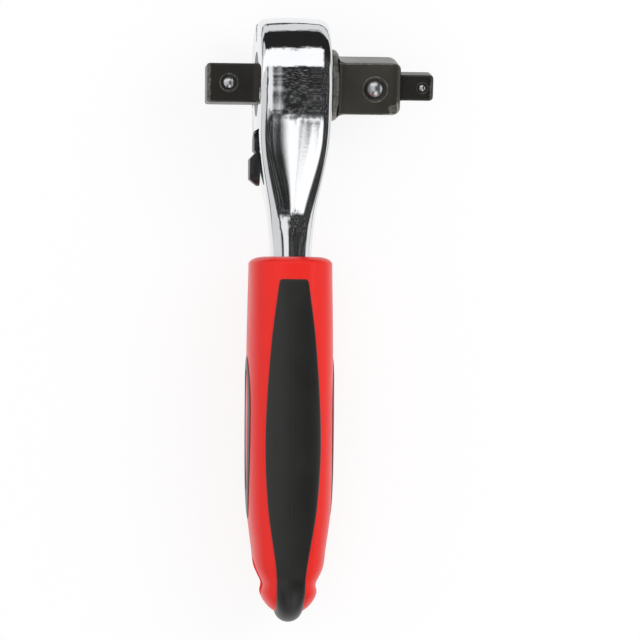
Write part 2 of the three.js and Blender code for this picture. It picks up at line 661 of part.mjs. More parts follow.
function plungerSpring() {
  const room = plungerRear - plungerFloor;
  const radius = PLUNGER_RADIUS - 2 * PLUNGER_SPRING_WIRE;
  const coil = coilSpring(radius, PLUNGER_SPRING_WIRE, room - 2 * RUNNING_GAP, PLUNGER_SPRING_CURLS);
  return coil.rotateX(-Math.PI / 2).translate(plungerX, plungerFloor + RUNNING_GAP, 0);
}

function thrustWasher() {
  const inner = COLLAR_RADIUS + RUNNING_GAP;
  const outer = cavityRadius - RUNNING_GAP;
  return ringX(inner, outer, gearRight + RUNNING_GAP, backWall - RUNNING_GAP);
}

const gearSeal = () =>
  new THREE.TorusGeometry(sealRadius, SEAL_CORD_RADIUS, 6, ROUND_SIDES)
    .rotateY(Math.PI / 2)
    .translate(sealX, 0, 0);

const handleCurve = new THREE.CatmullRomCurve3(
  HANDLE_STATIONS.map(({ share, halfWidth, halfDepth }) => new THREE.Vector3(share, halfWidth, halfDepth)),
);

// The handle's outside, moved out by a height on its sides and by another at its rounded end.
function handleBody(proud, endProud) {
  const rim = HANDLE_STATIONS[0];
  const ring = (down, halfWidth, halfDepth) =>
    sectionRing(down, halfWidth + proud, halfDepth + proud, HANDLE_SQUARENESS);
  const inset = (down, width) => ring(down, rim.halfWidth - width, rim.halfDepth - width);
  const start = HANDLE_TOP + HANDLE_RIM_ROUND;
  const side = handleCurve.getPoints(12).map((at) => ring(start + (hangHole - start) * at.x, at.y, at.z));
  const tail = HANDLE_STATIONS[HANDLE_STATIONS.length - 1];
  const end = steps(6).slice(1).map((share) => {
    const angle = POLE_ANGLE * share;
    const down = hangHole + ((HANDLE_END_REACH + endProud) * Math.sin(angle)) / Math.sin(POLE_ANGLE);
    const halfWidth = (tail.halfWidth + proud) * Math.cos(angle);
    const halfDepth = (tail.halfDepth + proud) * Math.cos(angle);
    return sectionRing(down, halfWidth, halfDepth, HANDLE_SQUARENESS);
  });
  const rims = [
    inset(HANDLE_TOP - HANDLE_DOME, HANDLE_DOME_WIDTH),
    inset(HANDLE_TOP, HANDLE_RIM_ROUND),
    inset(HANDLE_TOP + HANDLE_RIM_ROUND / 3, HANDLE_RIM_ROUND / 3),
  ];
  return solid(skin([...rims, ...side, ...end]));
}

// The strip of the soft grip, seen on the handle's narrow side, grown by an allowance.
function gripOutline(allowance) {
  const curve = new THREE.SplineCurve(
    GRIP_STATIONS.map(({ share, halfWidth }) => {
      const down = gripTop - allowance + (hangHole - gripTop + allowance) * share;
      return new THREE.Vector2(halfWidth + allowance, -down);
    }),
  );
  const right = curve.getPoints(SMALL_SIDES);
  const tailHalf = right[right.length - 1].x;
  const tailY = GRIP_TAIL_ROUND - toolEnd;
  const tail = steps(SMALL_SIDES).map((share) => {
    const turn = Math.PI * share;
    const y = tailY - (GRIP_TAIL_ROUND + allowance) * Math.sin(turn);
    return new THREE.Vector2(tailHalf * Math.cos(turn), y);
  });
  const left = right.map(({ x, y }) => new THREE.Vector2(-x, y)).reverse();
  return new THREE.Shape([...right, ...tail, ...left]);
}

const gripStrip = (allowance) => solid(runZ(gripOutline(allowance), headRadius));

function softGrip() {
  const outside = handleBody(GRIP_PROUD, GRIP_TAIL_PROUD);
  return outside.intersect(gripStrip(0)).subtract(handleBody(-GRIP_THICKNESS, -GRIP_THICKNESS));
}

// An egg shape on a broad side, drawn in by a band at its sides and top and by another at its tail.
function eggPath(path, band, tailBand) {
  const middle = -HANDLE_TOP - BADGE_WIDEST;
  const half = BADGE_HALF_WIDTH - band;
  path.absellipse(middle, 0, BADGE_WIDEST - BADGE_TOP - band, half, -Math.PI / 2, Math.PI / 2, false);
  path.absellipse(middle, 0, BADGE_BOTTOM - BADGE_WIDEST - tailBand, half, Math.PI / 2, 1.5 * Math.PI, false);
  return path;
}

// The band of the inlay through one side of the handle, grown by an allowance.
function badgeBand(side, allowance) {
  const outline = eggPath(new THREE.Shape(), -allowance, -allowance);
  outline.holes.push(eggPath(new THREE.Path(), BADGE_BAND + allowance, BADGE_TAIL_BAND + allowance));
  const band = runX(outline, 0, headRadius);
  return solid(side > 0 ? band : band.rotateY(Math.PI));
}

function badgeRing(side) {
  const inside = handleBody(-BADGE_THICKNESS, -BADGE_THICKNESS);
  return handleBody(BADGE_PROUD, BADGE_PROUD).intersect(badgeBand(side, 0)).subtract(inside);
}

// The dished mouth of the hanging hole on one side.
function hangDish(side) {
  const face = HANDLE_STATIONS[HANDLE_STATIONS.length - 1].halfWidth;
  const floor = face - HANG_DISH_DEPTH;
  const outside = face + HANG_DISH_DEPTH;
  const outsideRadius = 2 * HANG_DISH_RADIUS - HANG_HOLE_RADIUS;
  const profile = [[0, floor], [HANG_HOLE_RADIUS, floor], [outsideRadius, outside], [0, outside]];
  const dish = spinX(profile, SMALL_SIDES);
  return (side > 0 ? dish : dish.rotateY(Math.PI)).translate(0, -hangHole, 0);
}

function handleCore() {
  const groove = gripStrip(MOULD_GAP).subtract(
    handleBody(-GRIP_THICKNESS - MOULD_GAP, -GRIP_THICKNESS - MOULD_GAP),
  );
  const badgeFloor = handleBody(-BADGE_THICKNESS - MOULD_GAP, -BADGE_THICKNESS - MOULD_GAP);
  const badgeGroove = badgeBand(1, MOULD_GAP).add(badgeBand(-1, MOULD_GAP)).subtract(badgeFloor);
  const hole = rodX(HANG_HOLE_RADIUS, -headRadius, headRadius, SMALL_SIDES).translate(0, -hangHole, 0);
  const core = cutAway(handleBody(0, 0).subtract(groove).subtract(badgeGroove), [
    skin(tangRings(MOULD_GAP)),
    hole,
    hangDish(1),
    hangDish(-1),
  ]);
  const keys = TANG_KEY_PLACES.map((place) => tangKey(TANG_KEY_RADIUS - MOULD_GAP, place, NECK_DEPTH));
  return keys.reduce((body, key) => body.add(solid(key)), core);
}

const tool = new THREE.Group();
const drawn = new THREE.Group();
drawn.position.set(-(leftEnd + rightEnd) / 2, (toolEnd - crownTop) / 2, headRadius);
tool.add(drawn);

drawn.add(
  piece("head_forging", headForging(), chrome()),
  piece("cover_plate", coverPlate(), chrome()),
  piece("ratchet_gear", ratchetGear(), blackSteel()),
  piece("three_eighths_anvil", threeEighthsAnvil(), blackSteel()),
  piece("thrust_washer", thrustWasher(), brightSteel()),
  piece("gear_seal", gearSeal(), blackRubber()),
  piece("pawl", pawl(), blackSteel()),
  piece("reversing_lever", reversingLever(), blackPaint()),
  piece("lever_clip", leverClip(), brightSteel()),
  piece("lever_plunger", leverPlunger(), brightSteel()),
  piece("plunger_spring", plungerSpring(), brightSteel()),
  piece("handle_core", handleCore(), redPlastic()),
  piece("soft_grip", softGrip(), blackRubber()),
  piece("badge_ring_left", badgeRing(-1), blackRubber()),
  piece("badge_ring_right", badgeRing(1), blackRubber()),
);

screwPlaces.forEach(({ y, z }, i) => {
  const screw = piece(`cover_screw_${i + 1}`, coverScrew(), brightSteel());
  screw.position.set(0, y, z);
  drawn.add(screw);
});

const rightDrives = new THREE.Group();
rightDrives.rotation.x = RIGHT_CLOCK;
rightDrives.add(
  ...detent("half", HALF_BALL, halfBallX, HALF_SQUARE / 2),
  ...detent("quarter", QUARTER_BALL, quarterBallX, QUARTER_SQUARE / 2),
);
const leftDrive = new THREE.Group();
leftDrive.rotation.x = LEFT_CLOCK;
leftDrive.add(...detent("three_eighths", THREE_EIGHTHS_BALL, threeEighthsBallX, THREE_EIGHTHS_SQUARE / 2));
drawn.add(rightDrives, leftDrive);

export default tool;
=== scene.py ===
# Looks of the stubby ratchet with three square drives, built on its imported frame.
# Sizes are in millimetres from the point where the drive axis crosses the middle of the head, and become
# metres once, when a piece is dressed. "Down" is the distance from that point along the handle.

import json
import math

import bmesh
import bpy
from mathutils import Matrix, Vector

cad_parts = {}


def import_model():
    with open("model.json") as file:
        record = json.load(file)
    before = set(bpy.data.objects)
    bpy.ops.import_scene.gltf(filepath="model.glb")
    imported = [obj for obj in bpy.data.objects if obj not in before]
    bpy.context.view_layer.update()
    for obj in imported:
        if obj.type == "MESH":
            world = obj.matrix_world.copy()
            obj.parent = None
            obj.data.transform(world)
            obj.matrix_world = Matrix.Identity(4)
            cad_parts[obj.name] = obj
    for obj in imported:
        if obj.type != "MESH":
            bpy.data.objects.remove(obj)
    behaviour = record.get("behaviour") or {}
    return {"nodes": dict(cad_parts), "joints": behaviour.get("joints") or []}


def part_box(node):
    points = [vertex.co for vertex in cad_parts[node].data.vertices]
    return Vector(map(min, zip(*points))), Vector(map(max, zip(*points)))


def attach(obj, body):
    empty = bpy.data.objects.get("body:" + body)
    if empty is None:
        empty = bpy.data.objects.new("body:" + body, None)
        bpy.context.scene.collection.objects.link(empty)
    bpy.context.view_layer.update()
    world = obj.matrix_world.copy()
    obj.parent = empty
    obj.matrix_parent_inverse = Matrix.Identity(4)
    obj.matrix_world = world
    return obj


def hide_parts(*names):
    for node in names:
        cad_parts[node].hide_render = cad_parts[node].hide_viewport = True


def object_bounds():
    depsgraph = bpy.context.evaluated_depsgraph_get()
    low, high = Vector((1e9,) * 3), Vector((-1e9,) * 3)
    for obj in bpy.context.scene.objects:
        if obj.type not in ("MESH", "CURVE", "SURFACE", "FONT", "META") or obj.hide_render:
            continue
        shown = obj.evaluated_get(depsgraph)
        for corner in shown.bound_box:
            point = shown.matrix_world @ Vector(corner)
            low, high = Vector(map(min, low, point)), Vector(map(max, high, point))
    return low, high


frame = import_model()
cad_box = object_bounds()

MM = 0.001
MERGE_DISTANCE = 1e-4
COLLAPSE_DISTANCE = 1e-5
JOINTS = {joint["name"]: joint for joint in frame["joints"]}
AXIS = Vector(JOINTS["drive_spin"]["pos_m"])


# Lowest and highest corner of a node, in millimetres from the drive axis
def reach(node):
    low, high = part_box(node)
    return (low - AXIS) / MM, (high - AXIS) / MM


# Sizes that the frame gives
head_high = reach("head_forging")[1]
plate_low, plate_high = reach("cover_plate")
gear_high = reach("ratchet_gear")[1]
anvil_low = reach("three_eighths_anvil")[0]
grip_low = reach("soft_grip")[0]
lever_low, lever_high = reach("reversing_lever")
screw_boxes = [reach(f"cover_screw_{i}") for i in (1, 2, 3)]
HEAD_RADIUS = head_high.z
HEAD_HALF = head_high.x
LEFT_FACE = plate_low.x
PLATE_BACK = plate_high.x
RIGHT_END = gear_high.x
LEFT_END = anvil_low.x
TOOL_END = -grip_low.y
LEVER_DOWN = (AXIS.y - JOINTS["lever_flip"]["pos_m"][1]) / MM
PLATE_RADIUS = plate_high.y
PLATE_END = -plate_low.y

# Head and neck
ROUND_END = 3.5
FLANK_START = 11
FLANK_SLOPE = 0.374
FLANK_END = 30
NECK_START = 37.5
SLIM_START = 11
SLIM_END = 42.5
NECK_HALF = 5
EDGE_ACROSS = 3.2
EDGE_DEPTH = 1.5
RIM_BARREL = 0.25
# Where the edges change from the head's to the neck's, and the shares of the neck that they take there
BLEND_START = 14
BLEND_END = 40
NECK_EDGE_ACROSS = 0.9
NECK_EDGE_DEPTH = 0.6
ROUND_STEPS = 42
FLANK_STEPS = 72
EDGE_STEPS = 10
RIM_STEPS = 8
TANG_SHOWN = 4
PLATE_FOOT = 6.2
PLATE_EDGE = 0.3
SEAT_GAP = 0.2
PLATE_STEP_DOWN = 11.2
PLATE_STEP = 1
BORE_OVERLAP = 1
HOLE_SIDES = 48
KEYHOLE_STEPS = 48
# How far cutters reach past the faces that they cut
CUT_PAST = 2
HOLE_CUT_PAST = 1

# Cover screws
SCREW_SIDES = 48
SCREW_SHANK = 1
SCREW_EDGE = 0.15
SOCKET_SIDES = 6
SOCKET_MOUTH = 0.85
SOCKET_RADIUS = 0.75
SOCKET_BEVEL = 0.1
SOCKET_DEPTH = 0.8

# Drives
HALF_SQUARE = 12.7
THREE_EIGHTHS_SQUARE = 9.525
QUARTER_SQUARE = 6.35
QUARTER_LENGTH = 8.3
SQUARE_CORNER = 0.6
CORNER_STEPS = 8
FLAT_SHARES = (0.04, 0.12, 0.3, 0.5, 0.7, 0.88, 0.96)
# Rounding of the ends: length along the square, depth across it
HALF_END_ROUND = (2.2, 1.6)
THREE_EIGHTHS_END_ROUND = (0.7, 0.45)
QUARTER_END_ROUND = (1.1, 0.8)
END_STEPS = 8
# Distances of the loops behind the rounded end
BEHIND_END = (2.5, 1, 0.4)
COLLAR_RADIUS = 8.8
COLLAR_HEIGHT = 2.7
COLLAR_ROUND = 1.7
COLLAR_STRAIGHT = 0.2
COLLAR_SINK = 1
COLLAR_STEPS = 8
TURNED_SIDES = 96
BOSS_RADIUS = 7.7
BOSS_DEPTH = 3
BOSS_EDGE = 0.3
HALF_FLARE = 0.9
THREE_EIGHTHS_FLARE = 0.4
QUARTER_FLARE = 0.3
FLARE_LENGTH = 1.6
FLARE_STEPS = 6
ROOT_MARGIN = 0.05
ROOT_SINK = 0.3
ANVIL_SINK = 0.4
GEAR_TEETH = 72
GEAR_TIP = gear_high.z
TOOTH_DEPTH = 0.42
# Half of a tooth at its root and at its tip, as shares of the pitch
TOOTH_ROOT_HALF = 0.4
TOOTH_TIP_HALF = 0.1
GEAR_LEFT = PLATE_BACK + SEAT_GAP
GEAR_RIGHT = 4.35
HALF_END = RIGHT_END - QUARTER_LENGTH
RIGHT_CLOCK = math.radians(11.5)
LEFT_CLOCK = math.radians(-1)
BALLS = {
    "half": {"radius": 2.5, "proud": 0.9, "place": HALF_END - 6.4, "face": HALF_SQUARE / 2},
    "three_eighths": {
        "radius": 1.8,
        "proud": 0.65,
        "place": LEFT_END + 5.3,
        "face": THREE_EIGHTHS_SQUARE / 2,
    },
    "quarter": {"radius": 1.1, "proud": 0.4, "place": RIGHT_END - 2.8, "face": QUARTER_SQUARE / 2},
}
BALL_STEPS = 28
UPRIGHT_SIDES = 48
WELL_SLACK = 0.4
WELL_SIDE_SLACK = 0.15
STAKE_WIDTH = 0.4
STAKE_HEIGHT = 0.22
STAKE_SINK = 0.7
STAKE_SLACK = 0.1
# Outer radius of the staked ring as a share of the ball's
STAKE_REACH = 1.28
# Out from the ring's inside and its outside, and height over the face
STAKE_MOUTH = (0.05, -0.35)
STAKE_FOOT = (0.12, -0.1)
STAKE_LIP_DOWN = 0.18
# Crest of the ring: share of its width in from the outside, share of its height
STAKE_CREST = ((0.7, 0.7), (0.35, 1), (0, 0.6))

# Wear: a pair gives where it starts and where it is full
EDGE_WORN_SHARE = (0.93, 0.965)
RIM_WORN_LENGTH = (1.3, 0.7)
RIM_WORN_SHARE = (0.9, 0.96)
SQUARE_WEAR = 0.68
# Middle of the knocked corner: back from the end, in from the side
KNOCK_BACK = 1.2
KNOCK_IN = 1
# Distances from that middle
KNOCK_SIZE = (3.2, 1.2)
KNOCK_WEAR = 0.7
STAKE_WEAR = 0.7
STAKE_LOW_WEAR = 0.1
COLLAR_WEAR = 0.65
COLLAR_WORN_RADIUS = (7.9, 8.6)
COLLAR_WORN_ALONG = (9, 9.4)
LEVER_WEAR = 0.4
LEVER_WORN_HEIGHT = 0.5
SHAFT_WEAR = 0.2

# Lever
LEVER_HUB = 3.7
LEVER_TAIL = 3.2
LEVER_BASE = 0.7
LEVER_PAD = 1.5
LEVER_NOTCH = 1
LEVER_NOTCH_PLACE = 5.3
LEVER_TAB = 2.5
LEVER_SLOPE = 1.6
LEVER_BEVEL = 0.3
LEVER_BEVEL_STEPS = 3
LEVER_BEVEL_ANGLE = 25
LEVER_SINK = 0.15
LEVER_FRONT = 0.4
# How far the side view goes past the plan that it cuts, half its width, and the plan's height before the cut
LEVER_VIEW_PAST = 1
LEVER_VIEW_HALF = 8
LEVER_PLAN_HEIGHT = 5
LEVER_SHAFT = 2.3
SHAFT_SIDES = 40
SHAFT_TIP = 1.6
SHAFT_TIP_START = 2
SHAFT_TIP_LENGTH = 1.5
# Degrees that the lever turns to either side
LEVER_LIMIT = 25
LEVER_ROOM_STEPS = 6

# Handle, with stations of down, half width, half depth
HANDLE_TOP = 42.9
HANDLE_STATIONS = [
    (43.9, 10.1, 11.5),
    (62.4, 10.4, 12.9),
    (84.9, 10.5, 13.6),
    (103.6, 10.1, 12.9),
    (113.5, 8.95, 11.6),
    (117.6, 8.4, 10.9),
    (119.7, 7.55, 10.4),
    (121.7, 6.6, 10),
    (123.8, 6.9, 9.3),
    (126.4, 5.7, 7.5),
    (128.4, 3.6, 5),
    (129.6, 0.9, 1.4),
]
HANDLE_SQUARENESS = 2.9
HANDLE_SIDES = 128
HANDLE_STEPS = 120
RIM_ROUND = 1
DOME = 0.8
DOME_WIDTH = 3.5
DOME_STEPS = 14
MOUTH_GRASP = 0.6
MOUTH_DEPTH = 2
MOUTH_EDGE = 0.15
MOUTH_EDGE_LENGTH = 0.1
HOLE_DOWN = 120.7
HOLE_RADIUS = 3
DISH_RADIUS = 4.7
# Profile of the hanging hole: radius, distance from the middle
HOLE_PROFILE = [
    (0, 12),
    (DISH_RADIUS + 3, 12),
    (DISH_RADIUS, 7.4),
    (DISH_RADIUS - 0.9, 6.2),
    (HOLE_RADIUS + 0.25, 5.6),
    (HOLE_RADIUS, 5.1),
]

# Soft grip, with stations of down, half width
GRIP_TOP = 47.6
GRIP_STATIONS = [
    (47.6, 3.5),
    (63.7, 5.5),
    (85.6, 6.75),
    (102.4, 6),
    (117, 3.85),
    (120.7, 3.5),
]
GRIP_CORNER = 0.8
GRIP_PROUD = 0.3
GRIP_CROWN = 0.2
GRIP_TAIL_HALF = 3.3
GRIP_TAIL_START = 128.2
GRIP_SHELL = 1.2
GRIP_STEPS = 90
GRIP_TAIL_STEPS = 48
GRIP_CROWN_START = 0.1
# Rounded start of the grip: length from its top, share of its height
GRIP_START = ((0, 0), (0.06, 0.5), (0.16, 0.85), (0.35, 1))
EDGE_SINK = 0.5
# Rounded edge of a strip: share of its half width, share of its height
STRIP_EDGE = ((-1, 0), (-0.994, 0.5), (-0.98, 0.85), (-0.955, 1))
STRIP_SHARES = (-0.9, -0.75, -0.55, -0.35, -0.15)

# Oval inlays, with places down the handle
BADGE_TOP = 66.4
BADGE_WIDEST = 79.9
BADGE_BOTTOM = 106.1
BADGE_HALF = 6.9
BADGE_BAND = 3.2
BADGE_TAIL_BAND = 7
BADGE_PROUD = 0.15
BADGE_CROWN = 0.1
BADGE_STEPS = 144

# Materials
GRAIN_DETAIL = 4
GRAIN_HEIGHT = 0.05
BLOTCH_SCALE = 120
BLOTCH_DETAIL = 5
BLOTCH_RANGE = (0.3, 0.7)
CHIP_DETAIL = 6
CHIP_RANGE = (0.95, 1.45)
RIDGE_HEIGHT = 1.5

# Floor, light and camera, in metres, apart from the millimetres that the camera stands aside
CAMERA_DISTANCE = 0.95
CAMERA_TILT = math.radians(5.3)
CAMERA_ROLL = math.radians(0.44)
CAMERA_ASIDE = 0.6
PIXELS = 640
PIXELS_PER_MM = 4.09
SENSOR = 36
CAMERA_FAR = 10
FLOOR_HALF = 0.1
FLOOR_COLOUR = (0.9, 0.9, 0.9, 1)
FLOOR_ROUGHNESS = 0.9
FLOOR_GLOW = 1.05
FLOOR_GLOW_SHARE = 0.8
# Lamps: name, place, size, power
LAMPS = [
    ("soft lamp left", (-0.2, -0.1, 0.85), 0.5, 1.2),
    ("soft lamp right", (0.5, 0.25, 0.65), 0.5, 1.5),
]

# What metal sees round it: soft white panels in a dark room.
# Each panel is bright between edges, given as where it starts to show and where it shows fully,
# in degrees of lean from straight up towards the head's end, or as a share towards the right.
PANELS = [
    {"level": 1.2, "lean": [(25, 30), (65, 61)], "right": [(0.42, 0.28)]},
    {"level": 0.8, "lean": [(100, 106), (124.5, 123.5)], "right": []},
    {"level": 0.8, "lean": [(128, 129.5)], "right": []},
    {"level": 0.8, "lean": [(-100, -106)], "right": []},
    {"level": 1.25, "lean": [(-35, -40), (-85, -80)], "right": [(-0.1, 0.0), (0.5, 0.36)]},
    {"level": 0.95, "lean": [(-36, -30), (44, 38)], "right": [(-0.03, -0.1), (-0.45, -0.38)]},
    {"level": 0.75, "lean": [(-95, -85), (95, 85)], "right": [(-0.48, -0.56)]},
    {"level": 0.9, "lean": [(-95, -85), (95, 85)], "right": [(0.82, 0.9)]},
]
ROOM_DARK = 0.02
ROOM_MOTTLE = 0.3
ROOM_DRIFT_SCALE = 3
MOTTLE_SCALE = 34
MOTTLE_DETAIL = 7
# How far the panels' edges stray with the mottle and the drift: degrees of lean, share towards the right
MOTTLE_STRAY = 14
DRIFT_STRAY = 26
DRIFT_STRAY_RIGHT = 0.24
SPECKLE_EDGE = (0.5, 0.72)
SPECKLE_LEAN = (60, 45)
EVEN_LIGHT = 0.62


def shares(count):
    return [i / count for i in range(count + 1)]


# Angles of a full turn in equal steps
def turn_steps(count):
    return [2 * math.pi * i / count for i in range(count)]


def smooth(low, high, value):
    share = min(max((value - low) / (high - low), 0), 1)
    return share * share * (3 - 2 * share)


# A smooth curve through pairs of place and value
def through(pairs, place):
    places = [pair[0] for pair in pairs]
    place = min(max(place, places[0]), places[-1])
    i = max(k for k in range(len(pairs) - 1) if places[k] <= place)

    def slope(k):
        before = max(k - 1, 0)
        after = min(k + 1, len(pairs) - 1)
        return (pairs[after][1] - pairs[before][1]) / (places[after] - places[before])

    length = places[i + 1] - places[i]
    t = (place - places[i]) / length
    start = (2 * t**3 - 3 * t**2 + 1) * pairs[i][1] + (t**3 - 2 * t**2 + t) * length * slope(i)
    return start + (3 * t**2 - 2 * t**3) * pairs[i + 1][1] + (t**3 - t**2) * length * slope(i + 1)


# Faces between loops of points; the ends are closed unless they shrink to a line or point
def skin(loops, start=True, end=True):
    count = len(loops[0])
    points = [point for loop in loops for point in loop]
    faces = []
    for row in range(len(loops) - 1):
        for i in range(count):
            a = row * count + i
            b = row * count + (i + 1) % count
            faces.append((a, b, b + count, a + count))
    if start:
        faces.append(tuple(range(count)))
    if end:
        faces.append(tuple(range(len(points) - count, len(points))))
    return points, faces


# An open sheet from rows of points
def sheet(rows):
    count = len(rows[0])
    points = [point for row in rows for point in row]
    faces = []
    for row in range(len(rows) - 1):
        for i in range(count - 1):
            a = row * count + i
            faces.append((a, a + 1, a + 1 + count, a + count))
    return points, faces


# A profile of radius and x, spun round an axis along X
def spin(profile, sides=64, y=0, z=0):
    turns = turn_steps(sides)
    loops = [[(x, y + r * math.cos(t), z + r * math.sin(t)) for t in turns] for r, x in profile]
    return skin(loops, start=False, end=False)


def cylinder(radius, x_from, x_to, sides=64, y=0, z=0):
    return spin([(0, x_from), (radius, x_from), (radius, x_to), (0, x_to)], sides, y, z)


def prism(outline, x_from, x_to):
    return skin([[(x, y, z) for y, z in outline] for x in (x_from, x_to)])


def turned(part, angle):
    points, faces = part
    c, s = math.cos(angle), math.sin(angle)
    return [(x, y * c - z * s, y * s + z * c) for x, y, z in points], faces


# Two circles on the middle line with the straight sides that touch both
def keyhole(first_down, first_radius, second_down, second_radius):
    lean = math.asin((first_radius - second_radius) / (second_down - first_down))
    outline = []
    for down, radius, start, stop in (
        (first_down, first_radius, -math.pi / 2 - lean, math.pi / 2 + lean),
        (second_down, second_radius, math.pi / 2 + lean, 1.5 * math.pi - lean),
    ):
        for share in shares(KEYHOLE_STEPS):
            turn = start + (stop - start) * share
            outline.append((-down + radius * math.cos(turn), radius * math.sin(turn)))
    return outline


# A mesh object in millimetres, with its faces pointing out
def rough(name, *parts):
    points, faces = [], []
    for part_points, part_faces in parts:
        offset = len(points)
        points.extend(part_points)
        faces.extend(tuple(i + offset for i in face) for face in part_faces)
    mesh = bpy.data.meshes.new(name)
    mesh.from_pydata(points, [], faces)
    shape = bmesh.new()
    shape.from_mesh(mesh)
    bmesh.ops.remove_doubles(shape, verts=shape.verts, dist=MERGE_DISTANCE)
    bmesh.ops.dissolve_degenerate(shape, edges=shape.edges, dist=COLLAPSE_DISTANCE)
    bmesh.ops.recalc_face_normals(shape, faces=shape.faces)
    shape.to_mesh(mesh)
    shape.free()
    obj = bpy.data.objects.new(name, mesh)
    bpy.context.scene.collection.objects.link(obj)
    return obj


# The object's mesh with its modifiers made part of it
def settle(obj):
    graph = bpy.context.evaluated_depsgraph_get()
    settled = bpy.data.meshes.new_from_object(obj.evaluated_get(graph))
    obj.modifiers.clear()
    obj.data = settled


def carve(obj, operation, *cutters):
    for cutter in cutters:
        change = obj.modifiers.new("carve", "BOOLEAN")
        change.operation = operation
        change.solver = "EXACT"
        change.object = cutter
    settle(obj)
    for cutter in cutters:
        bpy.data.objects.remove(cutter)


# Paints how worn each corner of the mesh is, from its place in millimetres
def wear_by(obj, rule):
    worn = obj.data.attributes.new("wear", "FLOAT", "POINT")
    for vertex, value in zip(obj.data.vertices, worn.data):
        value.value = rule(*vertex.co)


# Turns a rough object into a finished piece in metres, on its body
def dress(obj, material, body, nodes=(), sharp=35):
    obj.data.transform(Matrix.Translation(AXIS) @ Matrix.Scale(MM, 4))
    obj.data.shade_smooth()
    obj.data.set_sharp_from_angle(angle=math.radians(sharp))
    obj.data.materials.clear()
    obj.data.materials.append(material)
    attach(obj, body)
    if nodes:
        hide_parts(*nodes)
    return obj


# Colours are written as 0 to 255 and turned into linear light
def paint(red, green, blue):
    def linear(value):
        share = value / 255
        return share / 12.92 if share <= 0.04045 else ((share + 0.055) / 1.055) ** 2.4

    return (linear(red), linear(green), linear(blue), 1)


# Shared effect: fine moulded or ground grain, and broad uneven blotches
def grain_group():
    group = bpy.data.node_groups.new("grain", "ShaderNodeTree")
    group.interface.new_socket("Scale", in_out="INPUT", socket_type="NodeSocketFloat")
    group.interface.new_socket("Height", in_out="OUTPUT", socket_type="NodeSocketFloat")
    group.interface.new_socket("Blotch", in_out="OUTPUT", socket_type="NodeSocketFloat")
    add = group.nodes.new
    inside, outside = add("NodeGroupInput"), add("NodeGroupOutput")
    place = add("ShaderNodeTexCoord")
    fine, broad = add("ShaderNodeTexNoise"), add("ShaderNodeTexNoise")
    fine.inputs["Detail"].default_value = GRAIN_DETAIL
    broad.inputs["Scale"].default_value = BLOTCH_SCALE
    broad.inputs["Detail"].default_value = BLOTCH_DETAIL
    for texture in (fine, broad):
        group.links.new(place.outputs["Object"], texture.inputs["Vector"])
    group.links.new(inside.outputs["Scale"], fine.inputs["Scale"])
    group.links.new(fine.outputs["Fac"], outside.inputs["Height"])
    group.links.new(broad.outputs["Fac"], outside.inputs["Blotch"])
    return group


# Shared effect: worn edges, broken up by scratches
def wear_group():
    group = bpy.data.node_groups.new("edge wear", "ShaderNodeTree")
    group.interface.new_socket("Scale", in_out="INPUT", socket_type="NodeSocketFloat")
    group.interface.new_socket("Mask", in_out="OUTPUT", socket_type="NodeSocketFloat")
    add = group.nodes.new
    inside, outside = add("NodeGroupInput"), add("NodeGroupOutput")
    place, worn, chips = add("ShaderNodeTexCoord"), add("ShaderNodeAttribute"), add("ShaderNodeTexNoise")
    worn.attribute_name = "wear"
    chips.inputs["Detail"].default_value = CHIP_DETAIL
    total, cut = add("ShaderNodeMath"), add("ShaderNodeMapRange")
    total.operation = "ADD"
    cut.inputs["From Min"].default_value = CHIP_RANGE[0]
    cut.inputs["From Max"].default_value = CHIP_RANGE[1]
    group.links.new(place.outputs["Object"], chips.inputs["Vector"])
    group.links.new(inside.outputs["Scale"], chips.inputs["Scale"])
    group.links.new(worn.outputs["Fac"], total.inputs[0])
    group.links.new(chips.outputs["Fac"], total.inputs[1])
    group.links.new(total.outputs["Value"], cut.inputs["Value"])
    group.links.new(cut.outputs["Result"], outside.inputs["Mask"])
    return group


GRAIN = grain_group()
WEAR = wear_group()


